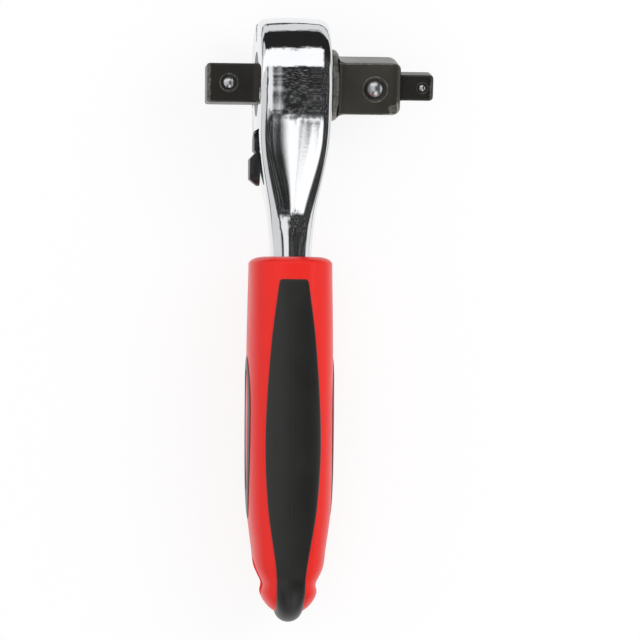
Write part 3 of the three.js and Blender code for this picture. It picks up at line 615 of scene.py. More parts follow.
# A material with grain: colour and roughness run between two values with the blotches
class Finish:
    def __init__(self, name, dark, light, smoothest, roughest, scale, bump, metallic=0):
        self.material = bpy.data.materials.new(name)
        self.material.use_nodes = True
        self.tree = self.material.node_tree
        self.shader = self.tree.nodes["Principled BSDF"]
        self.shader.inputs["Metallic"].default_value = metallic
        self.grain = self.group(GRAIN, scale)
        self.colour = self.blend(self.grain.outputs["Blotch"], dark, light)
        self.link(self.colour, self.shader.inputs["Base Color"])
        rough_range = self.tree.nodes.new("ShaderNodeMapRange")
        rough_range.inputs["From Min"].default_value = BLOTCH_RANGE[0]
        rough_range.inputs["From Max"].default_value = BLOTCH_RANGE[1]
        rough_range.inputs["To Min"].default_value = smoothest
        rough_range.inputs["To Max"].default_value = roughest
        self.link(self.grain.outputs["Blotch"], rough_range.inputs["Value"])
        self.link(rough_range.outputs["Result"], self.shader.inputs["Roughness"])
        self.bump = self.tree.nodes.new("ShaderNodeBump")
        self.bump.inputs["Strength"].default_value = bump
        self.bump.inputs["Distance"].default_value = GRAIN_HEIGHT * MM
        self.link(self.grain.outputs["Height"], self.bump.inputs["Height"])
        self.link(self.bump.outputs["Normal"], self.shader.inputs["Normal"])

    def link(self, source, target):
        self.tree.links.new(source, target)

    def group(self, group, scale):
        node = self.tree.nodes.new("ShaderNodeGroup")
        node.node_tree = group
        node.inputs["Scale"].default_value = scale
        return node

    def blend(self, mask, first, second):
        mix = self.tree.nodes.new("ShaderNodeMix")
        mix.data_type = "RGBA"
        self.link(mask, mix.inputs["Factor"])
        for socket, value in ((mix.inputs[6], first), (mix.inputs[7], second)):
            if isinstance(value, tuple):
                socket.default_value = value
            else:
                self.link(value, socket)
        return mix.outputs[2]

    def worn(self, bare, scale):
        mask = self.group(WEAR, scale).outputs["Mask"]
        self.link(self.blend(mask, self.colour, bare), self.shader.inputs["Base Color"])
        self.link(mask, self.shader.inputs["Metallic"])

    # A thin mould line along the middle of the tool, as a small ridge
    def mould_line(self, half_width):
        add = self.tree.nodes.new
        place, parts, off, size, line = (
            add("ShaderNodeTexCoord"),
            add("ShaderNodeSeparateXYZ"),
            add("ShaderNodeMath"),
            add("ShaderNodeMath"),
            add("ShaderNodeMapRange"),
        )
        off.operation = "SUBTRACT"
        off.inputs[1].default_value = AXIS.x
        size.operation = "ABSOLUTE"
        line.inputs["From Max"].default_value = half_width * MM
        line.inputs["To Min"].default_value = 1
        line.inputs["To Max"].default_value = 0
        self.link(place.outputs["Object"], parts.inputs["Vector"])
        self.link(parts.outputs["X"], off.inputs[0])
        self.link(off.outputs["Value"], size.inputs[0])
        self.link(size.outputs["Value"], line.inputs["Value"])
        ridge = add("ShaderNodeMath")
        ridge.operation = "MULTIPLY_ADD"
        ridge.inputs[1].default_value = RIDGE_HEIGHT
        self.link(line.outputs["Result"], ridge.inputs[0])
        self.link(self.grain.outputs["Height"], ridge.inputs[2])
        self.link(ridge.outputs["Value"], self.bump.inputs["Height"])


def finishes():
    made = {
        "chrome": Finish("polished chrome", paint(226, 228, 231), paint(240, 241, 243),
                         smoothest=0.035, roughest=0.075, scale=1800, bump=0.06, metallic=1),
        "bright": Finish("bright steel", paint(196, 198, 200), paint(224, 225, 226),
                         smoothest=0.26, roughest=0.34, scale=2500, bump=0.1, metallic=1),
        "oxide": Finish("black oxide", paint(20, 19, 15), paint(36, 34, 29),
                        smoothest=0.3, roughest=0.42, scale=4000, bump=0.35),
        # A paler copy of the black oxide, as painted light: it stands in for the light and reflection that
        # the 1/2 in square and the collar catch, and is not a different finish
        "painted_lit_oxide": Finish("black oxide painted lighter", paint(44, 41, 36), paint(64, 61, 54),
                             smoothest=0.26, roughest=0.38, scale=4000, bump=0.35),
        "paint": Finish("black paint", paint(20, 20, 20), paint(33, 33, 33),
                        smoothest=0.3, roughest=0.42, scale=3000, bump=0.25),
        "red": Finish("red plastic", paint(246, 28, 18), paint(252, 38, 28),
                      smoothest=0.3, roughest=0.38, scale=2600, bump=0.1),
        "rubber": Finish("soft grip rubber", paint(22, 22, 21), paint(33, 33, 31),
                         smoothest=0.36, roughest=0.46, scale=5200, bump=0.5),
    }
    made["oxide"].worn(paint(150, 147, 139), scale=900)
    # The paler copy's worn bare metal is painted lighter too, as part of the same painted light
    made["painted_lit_oxide"].worn(paint(168, 165, 157), scale=900)
    made["paint"].worn(paint(120, 120, 118), scale=1400)
    made["rubber"].mould_line(half_width=0.12)
    made["red"].mould_line(half_width=0.1)
    made["red"].shader.inputs["Specular IOR Level"].default_value = 0.45
    made["rubber"].shader.inputs["Sheen Weight"].default_value = 0.15
    return {name: one.material for name, one in made.items()}


FINISH = finishes()


# How fast the head grows thinner in depth beyond its round: a straight flank, eased at both ends
def flank_slope(down):
    round_slope = ROUND_END / math.sqrt(HEAD_RADIUS**2 - ROUND_END**2)
    eased = round_slope + (FLANK_SLOPE - round_slope) * smooth(ROUND_END, FLANK_START, down)
    return eased * (1 - smooth(FLANK_END, NECK_START, down))


# Places down the flank with half the depth there, by adding up its slope
def flank_places(last):
    step = (last - ROUND_END) / FLANK_STEPS
    depth = math.sqrt(HEAD_RADIUS**2 - ROUND_END**2)
    places = []
    for i in range(1, FLANK_STEPS + 1):
        down = ROUND_END + i * step
        depth -= step * flank_slope(down - step / 2)
        places.append((down, depth))
    return places


def head_thickness(down):
    return NECK_HALF + (HEAD_HALF - NECK_HALF) * (1 - smooth(SLIM_START, SLIM_END, down))


# The chrome head: its side outline, drawn in towards both faces by rounded edges
def chrome_head():
    outline = []
    round_turn = math.asin(ROUND_END / HEAD_RADIUS)
    for share in shares(ROUND_STEPS):
        angle = math.pi / 2 - share * (math.pi / 2 + round_turn)
        normal = (math.sin(angle), math.cos(angle))
        outline.append((-HEAD_RADIUS * normal[0], HEAD_RADIUS * normal[1], normal))
    for down, depth in flank_places(HANDLE_TOP + TANG_SHOWN):
        lean = flank_slope(down)
        size = math.hypot(lean, 1)
        outline.append((down, depth, (-lean / size, 1 / size)))
    neck_depth = outline[-1][1]
    loops = []
    for down, depth, (normal_y, normal_z) in outline:
        half = head_thickness(down)
        slim = smooth(BLEND_START, BLEND_END, down)
        across = EDGE_ACROSS + (NECK_EDGE_ACROSS * half - EDGE_ACROSS) * slim
        deep = EDGE_DEPTH + (NECK_EDGE_DEPTH * neck_depth - EDGE_DEPTH) * slim
        barrel = RIM_BARREL * (1 - slim)
        profile = []
        for share in shares(EDGE_STEPS):
            turn = share * math.pi / 2
            profile.append((-half + across * (1 - math.cos(turn)), barrel + deep * (1 - math.sin(turn))))
        for share in shares(RIM_STEPS)[1:-1]:
            x = (half - across) * (2 * share - 1)
            profile.append((x, barrel * (2 * share - 1) ** 2))
        profile += [(-x, inset) for x, inset in reversed(profile[:EDGE_STEPS + 1])]
        side = []
        for x, inset in profile:
            z = max(depth - normal_z * inset, 0)
            side.append((x, -down - normal_y * inset, z))
        loops.append(side + [(x, y, -z) for x, y, z in reversed(side)])
    head = rough("chrome_head", skin(loops, start=False))
    recess = rough("recess", prism(plate_outline(SEAT_GAP), LEFT_FACE - CUT_PAST, PLATE_BACK))
    bore_radius = COLLAR_RADIUS + SEAT_GAP
    bore = rough("bore", cylinder(bore_radius, PLATE_BACK - BORE_OVERLAP, HEAD_HALF + CUT_PAST))
    carve(head, "DIFFERENCE", recess, bore, *lever_room())
    return dress(head, FINISH["chrome"], "body", ["head_forging"])


def plate_outline(grow):
    return keyhole(0, PLATE_RADIUS + grow, PLATE_END - PLATE_FOOT, PLATE_FOOT + grow)


def cover_plate():
    rows = (
        (PLATE_BACK, 0),
        (LEFT_FACE + PLATE_EDGE, 0),
        (LEFT_FACE + PLATE_EDGE / 3, -PLATE_EDGE / 3),
        (LEFT_FACE, -PLATE_EDGE),
    )
    plate = rough("cover", skin([[(x, y, z) for y, z in plate_outline(grow)] for x, grow in rows]))
    cutters = [rough("boss_hole", hole_cutter(BOSS_RADIUS + SEAT_GAP, 0, 0))]
    cutters.append(rough("lever_hole", hole_cutter(LEVER_SHAFT + SEAT_GAP, -LEVER_DOWN, 0)))
    for low, high in screw_boxes:
        middle = (low + high) / 2
        cutters.append(rough("screw_hole", hole_cutter((high.z - low.z) / 2 + SEAT_GAP, middle.y, middle.z)))
    cutters.append(rough("lever_seat", lever_seat()))
    carve(plate, "DIFFERENCE", *cutters)
    return dress(plate, FINISH["chrome"], "body", ["cover_plate"])


# Room in the head's face for the lever at its places from one limit to the other
def lever_room():
    end = -lever_low.y
    outline = keyhole(LEVER_DOWN, LEVER_HUB + SEAT_GAP, end - LEVER_TAIL, LEVER_TAIL + SEAT_GAP)
    centred = [(y + LEVER_DOWN, z) for y, z in outline]
    limit = math.radians(LEVER_LIMIT)
    cutters = []
    for share in shares(LEVER_ROOM_STEPS):
        room = prism(centred, LEFT_FACE - CUT_PAST, LEFT_FACE + PLATE_STEP)
        points, faces = turned(room, limit * (2 * share - 1))
        cutters.append(rough("lever_room", ([(x, y - LEVER_DOWN, z) for x, y, z in points], faces)))
    return cutters


# What is cut from the plate: its foot is lower than its round, and the lever lies there
def lever_seat():
    wide = 2 * PLATE_RADIUS
    far = 2 * PLATE_END
    corners = [(-PLATE_STEP_DOWN, -wide), (-PLATE_STEP_DOWN, wide), (-far, wide), (-far, -wide)]
    return prism(corners, LEFT_FACE - PLATE_STEP, LEFT_FACE + PLATE_STEP)


def hole_cutter(radius, y, z):
    return cylinder(radius, LEFT_FACE - HOLE_CUT_PAST, PLATE_BACK + HOLE_CUT_PAST, HOLE_SIDES, y, z)


# A countersunk screw with a six-sided socket
def cover_screw(number):
    low, high = screw_boxes[number - 1]
    middle = (low + high) / 2
    head, face, end = (high.z - low.z) / 2, low.x, high.x
    turns = turn_steps(SCREW_SIDES)

    def loop(radius, x, sides=0):
        points = []
        for turn in turns:
            size = radius
            if sides:
                sector = math.pi / sides
                size = radius * math.cos(sector) / math.cos((turn % (2 * sector)) - sector)
            points.append((x, middle.y + size * math.cos(turn), middle.z + size * math.sin(turn)))
        return points

    loops = [
        loop(SCREW_SHANK, end),
        loop(SCREW_SHANK, face + head - SCREW_SHANK),
        loop(head, face + SCREW_EDGE),
        loop(head - SCREW_EDGE, face),
        loop(SOCKET_MOUTH, face, SOCKET_SIDES),
        loop(SOCKET_RADIUS, face + SOCKET_BEVEL, SOCKET_SIDES),
        loop(SOCKET_RADIUS, face + SOCKET_DEPTH, SOCKET_SIDES),
    ]
    screw = rough(f"screw_{number}", skin(loops))
    return dress(screw, FINISH["bright"], "body", [f"cover_screw_{number}"])


# A square with rounded corners, with more points near its corners
def square_loop(x, half, corner):
    points = []
    inner = half - corner
    for quarter in range(4):
        turn = quarter * math.pi / 2
        c, s = math.cos(turn), math.sin(turn)
        local = [(inner + corner * math.cos(a), inner + corner * math.sin(a))
                 for a in (share * math.pi / 2 for share in shares(CORNER_STEPS))]
        local += [(inner - 2 * inner * share, half) for share in FLAT_SHARES]
        points += [(x, y * c - z * s, y * s + z * c) for y, z in local]
    return points


# A point drawn in towards the drive axis until it is no further out than a limit
def drawn_in(point, limit):
    x, y, z = point
    share = min(1, limit / math.hypot(y, z))
    return x, y * share, z * share


# A square drive, flared at its root no further out than the round that carries it
def square_bar(root, end, across, end_round, flare, round_limit):
    way = math.copysign(1, end - root)
    length, depth = end_round
    half = across / 2
    loops = []
    for share in shares(FLARE_STEPS):
        out = flare * (1 - math.sqrt(1 - (1 - share) ** 2))
        loop = square_loop(root + way * FLARE_LENGTH * share, half + out, SQUARE_CORNER)
        loops.append([drawn_in(point, round_limit) for point in loop])
    for back in BEHIND_END:
        loops.append(square_loop(end - way * (length + back), half, SQUARE_CORNER))
    for share in shares(END_STEPS):
        turn = share * math.pi / 2
        inset = depth * (1 - math.cos(turn))
        loops.append(square_loop(end - way * length * (1 - math.sin(turn)), half - inset, SQUARE_CORNER))
    return skin(loops)


# How worn a square is: along its edges and round its end, with one knocked corner
def square_wear(half, end, clock, knock):
    def rule(x, y, z):
        c, s = math.cos(-clock), math.sin(-clock)
        y, z = y * c - z * s, y * s + z * c
        near, far = sorted((abs(y), abs(z)))
        edge = smooth(*EDGE_WORN_SHARE, near / half)
        rim = smooth(*RIM_WORN_LENGTH, abs(end - x)) * smooth(*RIM_WORN_SHARE, far / half)
        dent = 0
        if knock:
            gap = Vector((x - end + KNOCK_BACK, y + half - KNOCK_IN, z - half)).length
            dent = smooth(*KNOCK_SIZE, gap)
        return SQUARE_WEAR * max(edge, rim) + KNOCK_WEAR * dent

    return rule


# A well for the ball in a square's upper face
def ball_well(name, clock):
    ball = BALLS[name]
    deep = ball["face"] - 2 * ball["radius"] - WELL_SLACK
    wide = ball["radius"] + WELL_SIDE_SLACK
    mouth = ball["face"] + CUT_PAST
    profile = [(0, deep), (wide, deep), (wide, mouth), (0, mouth)]
    return upright(profile, ball["place"], clock)


# A profile of radius and height, spun round an axis that stands on a square's upper face
def upright(profile, place, clock):
    points, faces = spin(profile, UPRIGHT_SIDES)
    stood = [(place + z, -y, x) for x, y, z in points]
    return turned((stood, faces), clock)


# The raised ring that is staked round the mouth of a ball's well
def stake_ring(name, clock):
    ball = BALLS[name]
    radius = ball["radius"]
    face = ball["face"]
    inner = math.sqrt(radius**2 - (radius - ball["proud"]) ** 2) + STAKE_SLACK
    outer = radius * STAKE_REACH
    width = STAKE_WIDTH * radius / BALLS["half"]["radius"]
    foot = face - STAKE_SINK
    profile = [(inner + width, foot), (inner, foot), (inner + STAKE_MOUTH[0], face + STAKE_MOUTH[1])]
    profile.append((outer - width, face - STAKE_LIP_DOWN))
    profile += [(outer - width * inward, face + STAKE_HEIGHT * rise) for inward, rise in STAKE_CREST]
    profile += [(outer + STAKE_FOOT[0], face + STAKE_FOOT[1]), (outer, foot), (inner + width, foot)]
    return upright(profile, ball["place"], clock)


def stake_piece(name, clock):
    ring = rough(f"stake_{name}", stake_ring(name, clock))
    face = BALLS[name]["face"]
    wear_by(ring, lambda x, y, z: STAKE_WEAR if math.hypot(y, z) > face else STAKE_LOW_WEAR)
    return dress(ring, FINISH["oxide"], "drive")


def gear_disc():
    outline = []
    pitch = 2 * math.pi / GEAR_TEETH
    root = GEAR_TIP - TOOTH_DEPTH
    tooth_points = (
        (root, -TOOTH_ROOT_HALF),
        (GEAR_TIP, -TOOTH_TIP_HALF),
        (GEAR_TIP, TOOTH_TIP_HALF),
        (root, TOOTH_ROOT_HALF),
    )
    for tooth in range(GEAR_TEETH):
        for radius, offset in tooth_points:
            angle = (tooth + offset) * pitch
            outline.append((-radius * math.cos(angle), radius * math.sin(angle)))
    return prism(outline, GEAR_LEFT, GEAR_RIGHT)


# The turned collar, which comes out of the head and rounds over towards the 1/2 in square
def collar():
    top = HEAD_HALF + COLLAR_HEIGHT
    start = GEAR_RIGHT - COLLAR_SINK
    profile = [(0, start), (COLLAR_RADIUS, start), (COLLAR_RADIUS, HEAD_HALF + COLLAR_STRAIGHT)]
    for share in shares(COLLAR_STEPS):
        turn = share * math.pi / 2
        profile.append((COLLAR_RADIUS - COLLAR_ROUND * (1 - math.cos(turn)),
                        top - COLLAR_ROUND * (1 - math.sin(turn))))
    return spin(profile + [(0, top)], TURNED_SIDES)


def spindle():
    collar_top = HEAD_HALF + COLLAR_HEIGHT
    half_bar = square_bar(collar_top - ROOT_SINK, HALF_END, HALF_SQUARE, HALF_END_ROUND, HALF_FLARE,
                          COLLAR_RADIUS - ROOT_MARGIN)
    half = rough("half_square", turned(half_bar, RIGHT_CLOCK))
    carve(half, "DIFFERENCE", rough("well", ball_well("half", RIGHT_CLOCK)))
    wear_by(half, square_wear(HALF_SQUARE / 2, HALF_END, RIGHT_CLOCK, True))
    # Painted light: this square gets the paler copy of the black oxide, standing in for the light it catches;
    # the 1/4 in square of the same piece keeps the plain oxide
    dress(half, FINISH["painted_lit_oxide"], "drive")
    quarter_bar = square_bar(HALF_END - ROOT_SINK, RIGHT_END, QUARTER_SQUARE, QUARTER_END_ROUND,
                             QUARTER_FLARE, HALF_SQUARE / 2)
    quarter = rough("quarter_square", turned(quarter_bar, RIGHT_CLOCK))
    carve(quarter, "DIFFERENCE", rough("well", ball_well("quarter", RIGHT_CLOCK)))
    wear_by(quarter, square_wear(QUARTER_SQUARE / 2, RIGHT_END, RIGHT_CLOCK, False))
    dress(quarter, FINISH["oxide"], "drive")
    boss = [
        (0, LEFT_FACE + BOSS_DEPTH),
        (BOSS_RADIUS, LEFT_FACE + BOSS_DEPTH),
        (BOSS_RADIUS, LEFT_FACE + BOSS_EDGE),
        (BOSS_RADIUS - BOSS_EDGE, LEFT_FACE),
        (0, LEFT_FACE),
    ]
    turning = rough("collar_and_gear", collar(), gear_disc(), spin(boss, TURNED_SIDES))

    def collar_wear(x, y, z):
        out = smooth(*COLLAR_WORN_RADIUS, math.hypot(y, z))
        return COLLAR_WEAR * out * smooth(*COLLAR_WORN_ALONG, x)

    wear_by(turning, collar_wear)
    # Painted light: the collar and gear also get the paler copy of the black oxide, standing in for the light
    # they catch
    dress(turning, FINISH["painted_lit_oxide"], "drive", ["ratchet_gear"])
    for name in ("half", "quarter"):
        stake_piece(name, RIGHT_CLOCK)


def anvil():
    root = LEFT_FACE - SEAT_GAP + ANVIL_SINK
    square = square_bar(root, LEFT_END, THREE_EIGHTHS_SQUARE, THREE_EIGHTHS_END_ROUND, THREE_EIGHTHS_FLARE,
                        BOSS_RADIUS - ROOT_MARGIN)
    piece = rough("three_eighths_square", turned(square, LEFT_CLOCK))
    carve(piece, "DIFFERENCE", rough("well", ball_well("three_eighths", LEFT_CLOCK)))
    wear_by(piece, square_wear(THREE_EIGHTHS_SQUARE / 2, LEFT_END, LEFT_CLOCK, False))
    dress(piece, FINISH["oxide"], "drive", ["three_eighths_anvil"])
    stake_piece("three_eighths", LEFT_CLOCK)


def detent_balls():
    for name, ball in BALLS.items():
        clock = LEFT_CLOCK if name == "three_eighths" else RIGHT_CLOCK
        radius = ball["radius"]
        middle = ball["face"] + ball["proud"] - radius
        turns = [share * math.pi for share in shares(BALL_STEPS)]
        arc = [(radius * math.sin(turn), middle - radius * math.cos(turn)) for turn in turns]
        sphere = rough(f"ball_{name}", upright(arc, ball["place"], clock))
        dress(sphere, FINISH["bright"], f"ball_{name}", [f"detent_ball_{name}"])


# The lever: its plan cut to its side view, with softened edges, on its shaft
def lever():
    top = -lever_high.y
    end = -lever_low.y
    foot = LEFT_FACE + PLATE_STEP - LEVER_SINK
    notch = top + LEVER_NOTCH_PLACE
    edge = LEVER_PAD - LEVER_BASE
    side = [
        (0, top - LEVER_VIEW_PAST),
        (LEVER_BASE, top - LEVER_FRONT),
        (LEVER_BASE, top),
        (LEVER_PAD, top + edge),
        (LEVER_PAD, notch - edge / 2),
        (LEVER_NOTCH, notch),
        (LEVER_TAB, notch + LEVER_SLOPE),
        (LEVER_TAB, end - LEVER_SLOPE),
        (LEVER_BASE, end),
        (0, end + LEVER_VIEW_PAST),
    ]
    rows = [[(foot - height, -down, z) for height, down in side] for z in (-LEVER_VIEW_HALF, LEVER_VIEW_HALF)]
    plan = keyhole(LEVER_DOWN, LEVER_HUB, end - LEVER_TAIL, LEVER_TAIL)
    tab = rough("thumb_lever", prism(plan, foot - LEVER_PLAN_HEIGHT, foot))
    carve(tab, "INTERSECT", rough("side_view", skin(rows)))
    soften = tab.modifiers.new("soften", "BEVEL")
    soften.width = LEVER_BEVEL
    soften.segments = LEVER_BEVEL_STEPS
    soften.limit_method = "ANGLE"
    soften.angle_limit = math.radians(LEVER_BEVEL_ANGLE)
    settle(tab)
    worn_from = LEVER_TAB - LEVER_WORN_HEIGHT
    wear_by(tab, lambda x, y, z: LEVER_WEAR * smooth(worn_from, LEVER_TAB, foot - x))
    dress(tab, FINISH["paint"], "lever", ["reversing_lever"], sharp=50)
    inner = lever_high.x
    shaft = [
        (0, foot),
        (LEVER_SHAFT, foot),
        (LEVER_SHAFT, inner - SHAFT_TIP_START),
        (SHAFT_TIP, inner - SHAFT_TIP_LENGTH),
        (SHAFT_TIP, inner),
        (0, inner),
    ]
    stem = rough("lever_shaft", spin(shaft, SHAFT_SIDES, -LEVER_DOWN))
    wear_by(stem, lambda x, y, z: SHAFT_WEAR)
    dress(stem, FINISH["paint"], "lever")


def handle_half(down):
    width = through([(place, w) for place, w, d in HANDLE_STATIONS], down)
    depth = through([(place, d) for place, w, d in HANDLE_STATIONS], down)
    return width, depth


# How far a rounded section reaches at an offset along its other axis
def section_reach(offset, half, other_half):
    share = min(abs(offset) / other_half, 1)
    return half * (1 - share**HANDLE_SQUARENESS) ** (1 / HANDLE_SQUARENESS)


def handle_loop(down, width, depth):
    def bend(value):
        return math.copysign(abs(value) ** (2 / HANDLE_SQUARENESS), value)

    turns = turn_steps(HANDLE_SIDES)
    return [(width * bend(math.cos(t)), -down, depth * bend(math.sin(t))) for t in turns]


def handle_core():
    first = HANDLE_STATIONS[0][0]
    last = HANDLE_STATIONS[-1][0]
    rim_width, rim_depth = handle_half(first)
    mouth = NECK_HALF - MOUTH_GRASP
    loops = [
        handle_loop(HANDLE_TOP + MOUTH_DEPTH, mouth, mouth),
        handle_loop(HANDLE_TOP - DOME + MOUTH_EDGE_LENGTH, mouth, mouth),
        handle_loop(HANDLE_TOP - DOME, mouth + MOUTH_EDGE, mouth + MOUTH_EDGE),
    ]
    for share in shares(DOME_STEPS):
        turn = share * math.pi / 2
        inset = DOME_WIDTH * (1 - math.sin(turn))
        down = HANDLE_TOP - DOME + (DOME + RIM_ROUND) * (1 - math.cos(turn))
        loops.append(handle_loop(down, rim_width - inset, rim_depth - inset))
    for share in shares(HANDLE_STEPS):
        down = first + (last - first) * share
        loops.append(handle_loop(down, *handle_half(down)))
    core = rough("red_core", skin(loops))
    left_half = [(radius, -away) for radius, away in HOLE_PROFILE]
    through_hole = spin(left_half + HOLE_PROFILE[::-1], y=-HOLE_DOWN)
    carve(core, "DIFFERENCE", rough("hang_hole", through_hole))
    return dress(core, FINISH["red"], "body", ["handle_core"], sharp=40)


# Steps across a strip: share of its half width, and height over the core
def strip_steps(proud, crown):
    edge = [(-1, -EDGE_SINK)] + [(share, proud * rise) for share, rise in STRIP_EDGE]
    middle = [(share, proud + crown * (1 - share**2)) for share in STRIP_SHARES]
    left = edge + middle
    return left + [(0, proud + crown)] + [(-share, lift) for share, lift in reversed(left)]


def grip_half(down):
    half = through(GRIP_STATIONS, down)
    short = min((down - GRIP_TOP) / GRIP_CORNER, 1)
    return half - GRIP_CORNER * (1 - math.sqrt(1 - (1 - short) ** 2))


# The soft grip: a crowned strip along one narrow side, round the end and back along the other
def soft_grip():
    across = strip_steps(GRIP_PROUD, GRIP_CROWN)

    def row(down, cap):
        width, depth = handle_half(down)
        points = []
        for share, lift in across:
            x = share * grip_half(down)
            points.append((x, -down, section_reach(x, depth, width) + min(lift, cap)))
        return points

    starts = [(0, -EDGE_SINK)] + [(back, GRIP_PROUD * rise) for back, rise in GRIP_START]
    strip = [row(GRIP_TOP + back, cap) for back, cap in starts]
    rounded = GRIP_START[-1][0]
    for share in shares(GRIP_STEPS)[1:]:
        down = GRIP_TOP + rounded + (HOLE_DOWN - GRIP_TOP - rounded) * share
        strip.append(row(down, GRIP_PROUD + GRIP_CROWN * smooth(0, GRIP_CROWN_START, share)))
    width, depth = handle_half(HOLE_DOWN)
    tail = []
    for step in shares(GRIP_TAIL_STEPS)[1:-1]:
        turn = step * math.pi
        half = GRIP_TAIL_HALF + (grip_half(HOLE_DOWN) - GRIP_TAIL_HALF) * math.cos(turn) ** 2
        points = []
        for share, lift in across:
            x = share * half
            length = GRIP_TAIL_START - HOLE_DOWN + (TOOL_END - GRIP_TAIL_START) * math.sqrt(1 - share**2)
            height = section_reach(x, depth, width) + lift
            points.append((x, -HOLE_DOWN - length * math.sin(turn), height * math.cos(turn)))
        tail.append(points)
    under = [[(x, y, -z) for x, y, z in points] for points in reversed(strip)]
    grip = rough("black_grip", sheet(strip + tail + under))
    thicken(grip)
    return dress(grip, FINISH["rubber"], "body", ["soft_grip"], sharp=60)


def thicken(obj):
    shell = obj.modifiers.new("shell", "SOLIDIFY")
    shell.thickness = GRIP_SHELL
    shell.offset = -1
    settle(obj)


# An oval on a broad side, drawn in by a band at its sides and top and by another at its tail
def egg(turn, band, tail_band):
    top_length = BADGE_WIDEST - BADGE_TOP - band
    tail_length = BADGE_BOTTOM - BADGE_WIDEST - tail_band
    length = tail_length if math.cos(turn) > 0 else top_length
    return BADGE_WIDEST + length * math.cos(turn), (BADGE_HALF - band) * math.sin(turn)


def badge_ring(side, name):
    across = strip_steps(BADGE_PROUD, BADGE_CROWN)
    rows = []
    for turn in turn_steps(BADGE_STEPS):
        outer = egg(turn, 0, 0)
        inner = egg(turn, BADGE_BAND, BADGE_TAIL_BAND)
        points = []
        for share, lift in across:
            mix = (share + 1) / 2
            down = outer[0] + (inner[0] - outer[0]) * mix
            z = outer[1] + (inner[1] - outer[1]) * mix
            width, depth = handle_half(down)
            points.append((side * (section_reach(z, width, depth) + lift), -down, z))
        rows.append(points)
    ring = rough(name, sheet(rows + rows[:1]))
    thicken(ring)
    return dress(ring, FINISH["rubber"], "body", [f"badge_{name}"], sharp=60)


# Pieces that stay as the frame has them get their finish here
def finish_inner_nodes():
    for node, name in (
        ("thrust_washer", "bright"),
        ("gear_seal", "rubber"),
        ("pawl", "oxide"),
        ("lever_clip", "bright"),
        ("lever_plunger", "bright"),
        ("plunger_spring", "bright"),
        ("detent_spring_half", "bright"),
        ("detent_spring_three_eighths", "bright"),
        ("detent_spring_quarter", "bright"),
    ):
        mesh = frame["nodes"][node].data
        mesh.materials.clear()
        mesh.materials.append(FINISH[name])


def camera():
    data = bpy.data.cameras.new("camera")
    data.sensor_width = SENSOR
    data.lens = SENSOR * CAMERA_DISTANCE / (PIXELS / PIXELS_PER_MM * MM)
    data.clip_end = CAMERA_FAR
    obj = bpy.data.objects.new("camera", data)
    bpy.context.scene.collection.objects.link(obj)
    back = Vector((-math.sin(CAMERA_TILT), 0, math.cos(CAMERA_TILT)))
    right = Vector((0, 1, 0)).cross(back)
    look = Matrix((right, Vector((0, 1, 0)), back)).transposed().to_4x4()
    target = Vector((CAMERA_ASIDE * MM, 0, AXIS.z))
    obj.matrix_world = (
        Matrix.Translation(target + back * CAMERA_DISTANCE) @ look @ Matrix.Rotation(CAMERA_ROLL, 4, "Z")
    )
    bpy.context.scene.camera = obj


def floor():
    mesh = bpy.data.meshes.new("floor")
    height = cad_box[0].z
    corners = [(-1, -1), (1, -1), (1, 1), (-1, 1)]
    mesh.from_pydata([(x * FLOOR_HALF, y * FLOOR_HALF, height) for x, y in corners], [], [(0, 1, 2, 3)])
    obj = bpy.data.objects.new("floor", mesh)
    bpy.context.scene.collection.objects.link(obj)
    material = bpy.data.materials.new("pale floor")
    material.use_nodes = True
    tree = material.node_tree
    shader = tree.nodes["Principled BSDF"]
    shader.inputs["Base Color"].default_value = FLOOR_COLOUR
    shader.inputs["Roughness"].default_value = FLOOR_ROUGHNESS
    glow = tree.nodes.new("ShaderNodeEmission")
    glow.inputs["Strength"].default_value = FLOOR_GLOW
    mix = tree.nodes.new("ShaderNodeMixShader")
    amount = tree.nodes.new("ShaderNodeMath")
    amount.operation = "MULTIPLY"
    amount.inputs[1].default_value = FLOOR_GLOW_SHARE
    tree.links.new(seen_rays(tree), amount.inputs[0])
    tree.links.new(amount.outputs["Value"], mix.inputs["Fac"])
    tree.links.new(shader.outputs["BSDF"], mix.inputs[1])
    tree.links.new(glow.outputs["Emission"], mix.inputs[2])
    tree.links.new(mix.outputs["Shader"], tree.nodes["Material Output"].inputs["Surface"])
    mesh.materials.append(material)


# One where the camera sees the surface, also by way of metal or glass
def seen_rays(tree):
    path = tree.nodes.new("ShaderNodeLightPath")
    total = path.outputs["Is Camera Ray"]
    for name in ("Is Glossy Ray", "Is Transmission Ray"):
        most = tree.nodes.new("ShaderNodeMath")
        most.operation = "MAXIMUM"
        tree.links.new(total, most.inputs[0])
        tree.links.new(path.outputs[name], most.inputs[1])
        total = most.outputs["Value"]
    return total


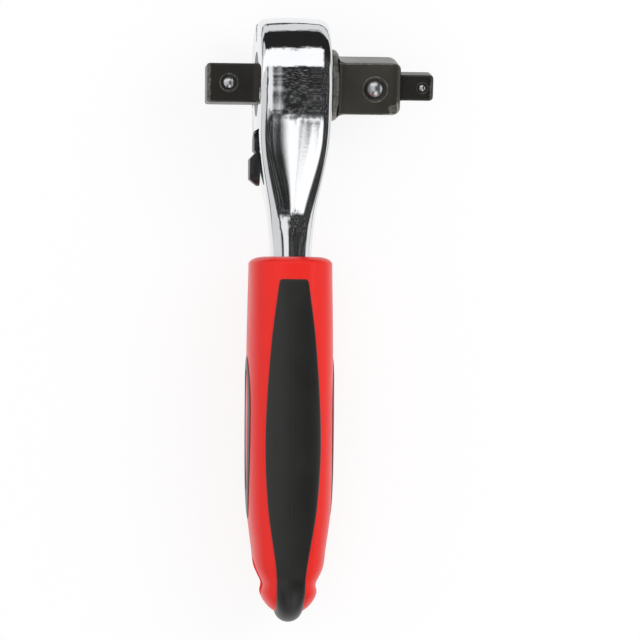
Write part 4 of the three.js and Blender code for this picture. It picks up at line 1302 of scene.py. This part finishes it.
# The room of panels that metal sees, white for the camera itself, and an even light for everything else
def world():
    sky = bpy.data.worlds.new("studio")
    bpy.context.scene.world = sky
    sky.use_nodes = True
    tree = sky.node_tree
    tree.nodes.clear()
    add = tree.nodes.new

    def math_node(operation, first, second):
        node = add("ShaderNodeMath")
        node.operation = operation
        for socket, value in zip(node.inputs, (first, second)):
            if isinstance(value, (int, float)):
                socket.default_value = value
            else:
                tree.links.new(value, socket)
        return node.outputs["Value"]

    def edge(source, start, full):
        node = add("ShaderNodeMapRange")
        node.interpolation_type = "SMOOTHSTEP"
        node.inputs["From Min"].default_value = start
        node.inputs["From Max"].default_value = full
        tree.links.new(source, node.inputs["Value"])
        return node.outputs["Result"]

    way, parts, mottle = add("ShaderNodeTexCoord"), add("ShaderNodeSeparateXYZ"), add("ShaderNodeTexNoise")
    mottle.inputs["Scale"].default_value = MOTTLE_SCALE
    mottle.inputs["Detail"].default_value = MOTTLE_DETAIL
    tree.links.new(way.outputs["Generated"], parts.inputs["Vector"])
    tree.links.new(way.outputs["Generated"], mottle.inputs["Vector"])
    lean = math_node("DEGREES", math_node("ARCTAN2", parts.outputs["Y"], parts.outputs["Z"]), 0)
    drift = add("ShaderNodeTexNoise")
    drift.inputs["Scale"].default_value = ROOM_DRIFT_SCALE
    tree.links.new(way.outputs["Generated"], drift.inputs["Vector"])

    def strayed(value, noise, amount):
        return math_node("ADD", value, math_node("MULTIPLY", math_node("SUBTRACT", noise, 0.5), amount))

    ragged = strayed(strayed(lean, mottle.outputs["Fac"], MOTTLE_STRAY), drift.outputs["Fac"], DRIFT_STRAY)
    right = strayed(parts.outputs["X"], drift.outputs["Fac"], DRIFT_STRAY_RIGHT)
    speckle = math_node("MULTIPLY", edge(mottle.outputs["Fac"], *SPECKLE_EDGE), edge(lean, *SPECKLE_LEAN))
    level = math_node("ADD", math_node("MULTIPLY", speckle, ROOM_MOTTLE), ROOM_DARK)
    for panel in PANELS:
        light_level = panel["level"]
        for start, full in panel["lean"]:
            light_level = math_node("MULTIPLY", edge(ragged, start, full), light_level)
        for start, full in panel["right"]:
            light_level = math_node("MULTIPLY", edge(right, start, full), light_level)
        level = math_node("MAXIMUM", level, light_level)
    path = add("ShaderNodeLightPath")
    shown = math_node("MAXIMUM", level, path.outputs["Is Camera Ray"])
    room, light, mix, out = (
        add("ShaderNodeBackground"),
        add("ShaderNodeBackground"),
        add("ShaderNodeMixShader"),
        add("ShaderNodeOutputWorld"),
    )
    light.inputs["Color"].default_value = (1, 1, 1, 1)
    light.inputs["Strength"].default_value = EVEN_LIGHT
    tree.links.new(shown, room.inputs["Color"])
    tree.links.new(seen_rays(tree), mix.inputs["Fac"])
    tree.links.new(light.outputs["Background"], mix.inputs[1])
    tree.links.new(room.outputs["Background"], mix.inputs[2])
    tree.links.new(mix.outputs["Shader"], out.inputs["Surface"])


def lamp(name, place, size, power):
    data = bpy.data.lights.new(name, "AREA")
    data.shape = "DISK"
    data.size = size
    data.energy = power
    obj = bpy.data.objects.new(name, data)
    bpy.context.scene.collection.objects.link(obj)
    obj.visible_glossy = False
    obj.location = place
    obj.rotation_euler = (-Vector(place)).to_track_quat("-Z", "Y").to_euler()


chrome_head()
cover_plate()
for screw_number in (1, 2, 3):
    cover_screw(screw_number)
spindle()
anvil()
detent_balls()
lever()
handle_core()
soft_grip()
badge_ring(-1, "ring_left")
badge_ring(1, "ring_right")
finish_inner_nodes()
floor()
world()
for lamp_values in LAMPS:
    lamp(*lamp_values)
camera()
bpy.context.scene.view_settings.view_transform = "Standard"
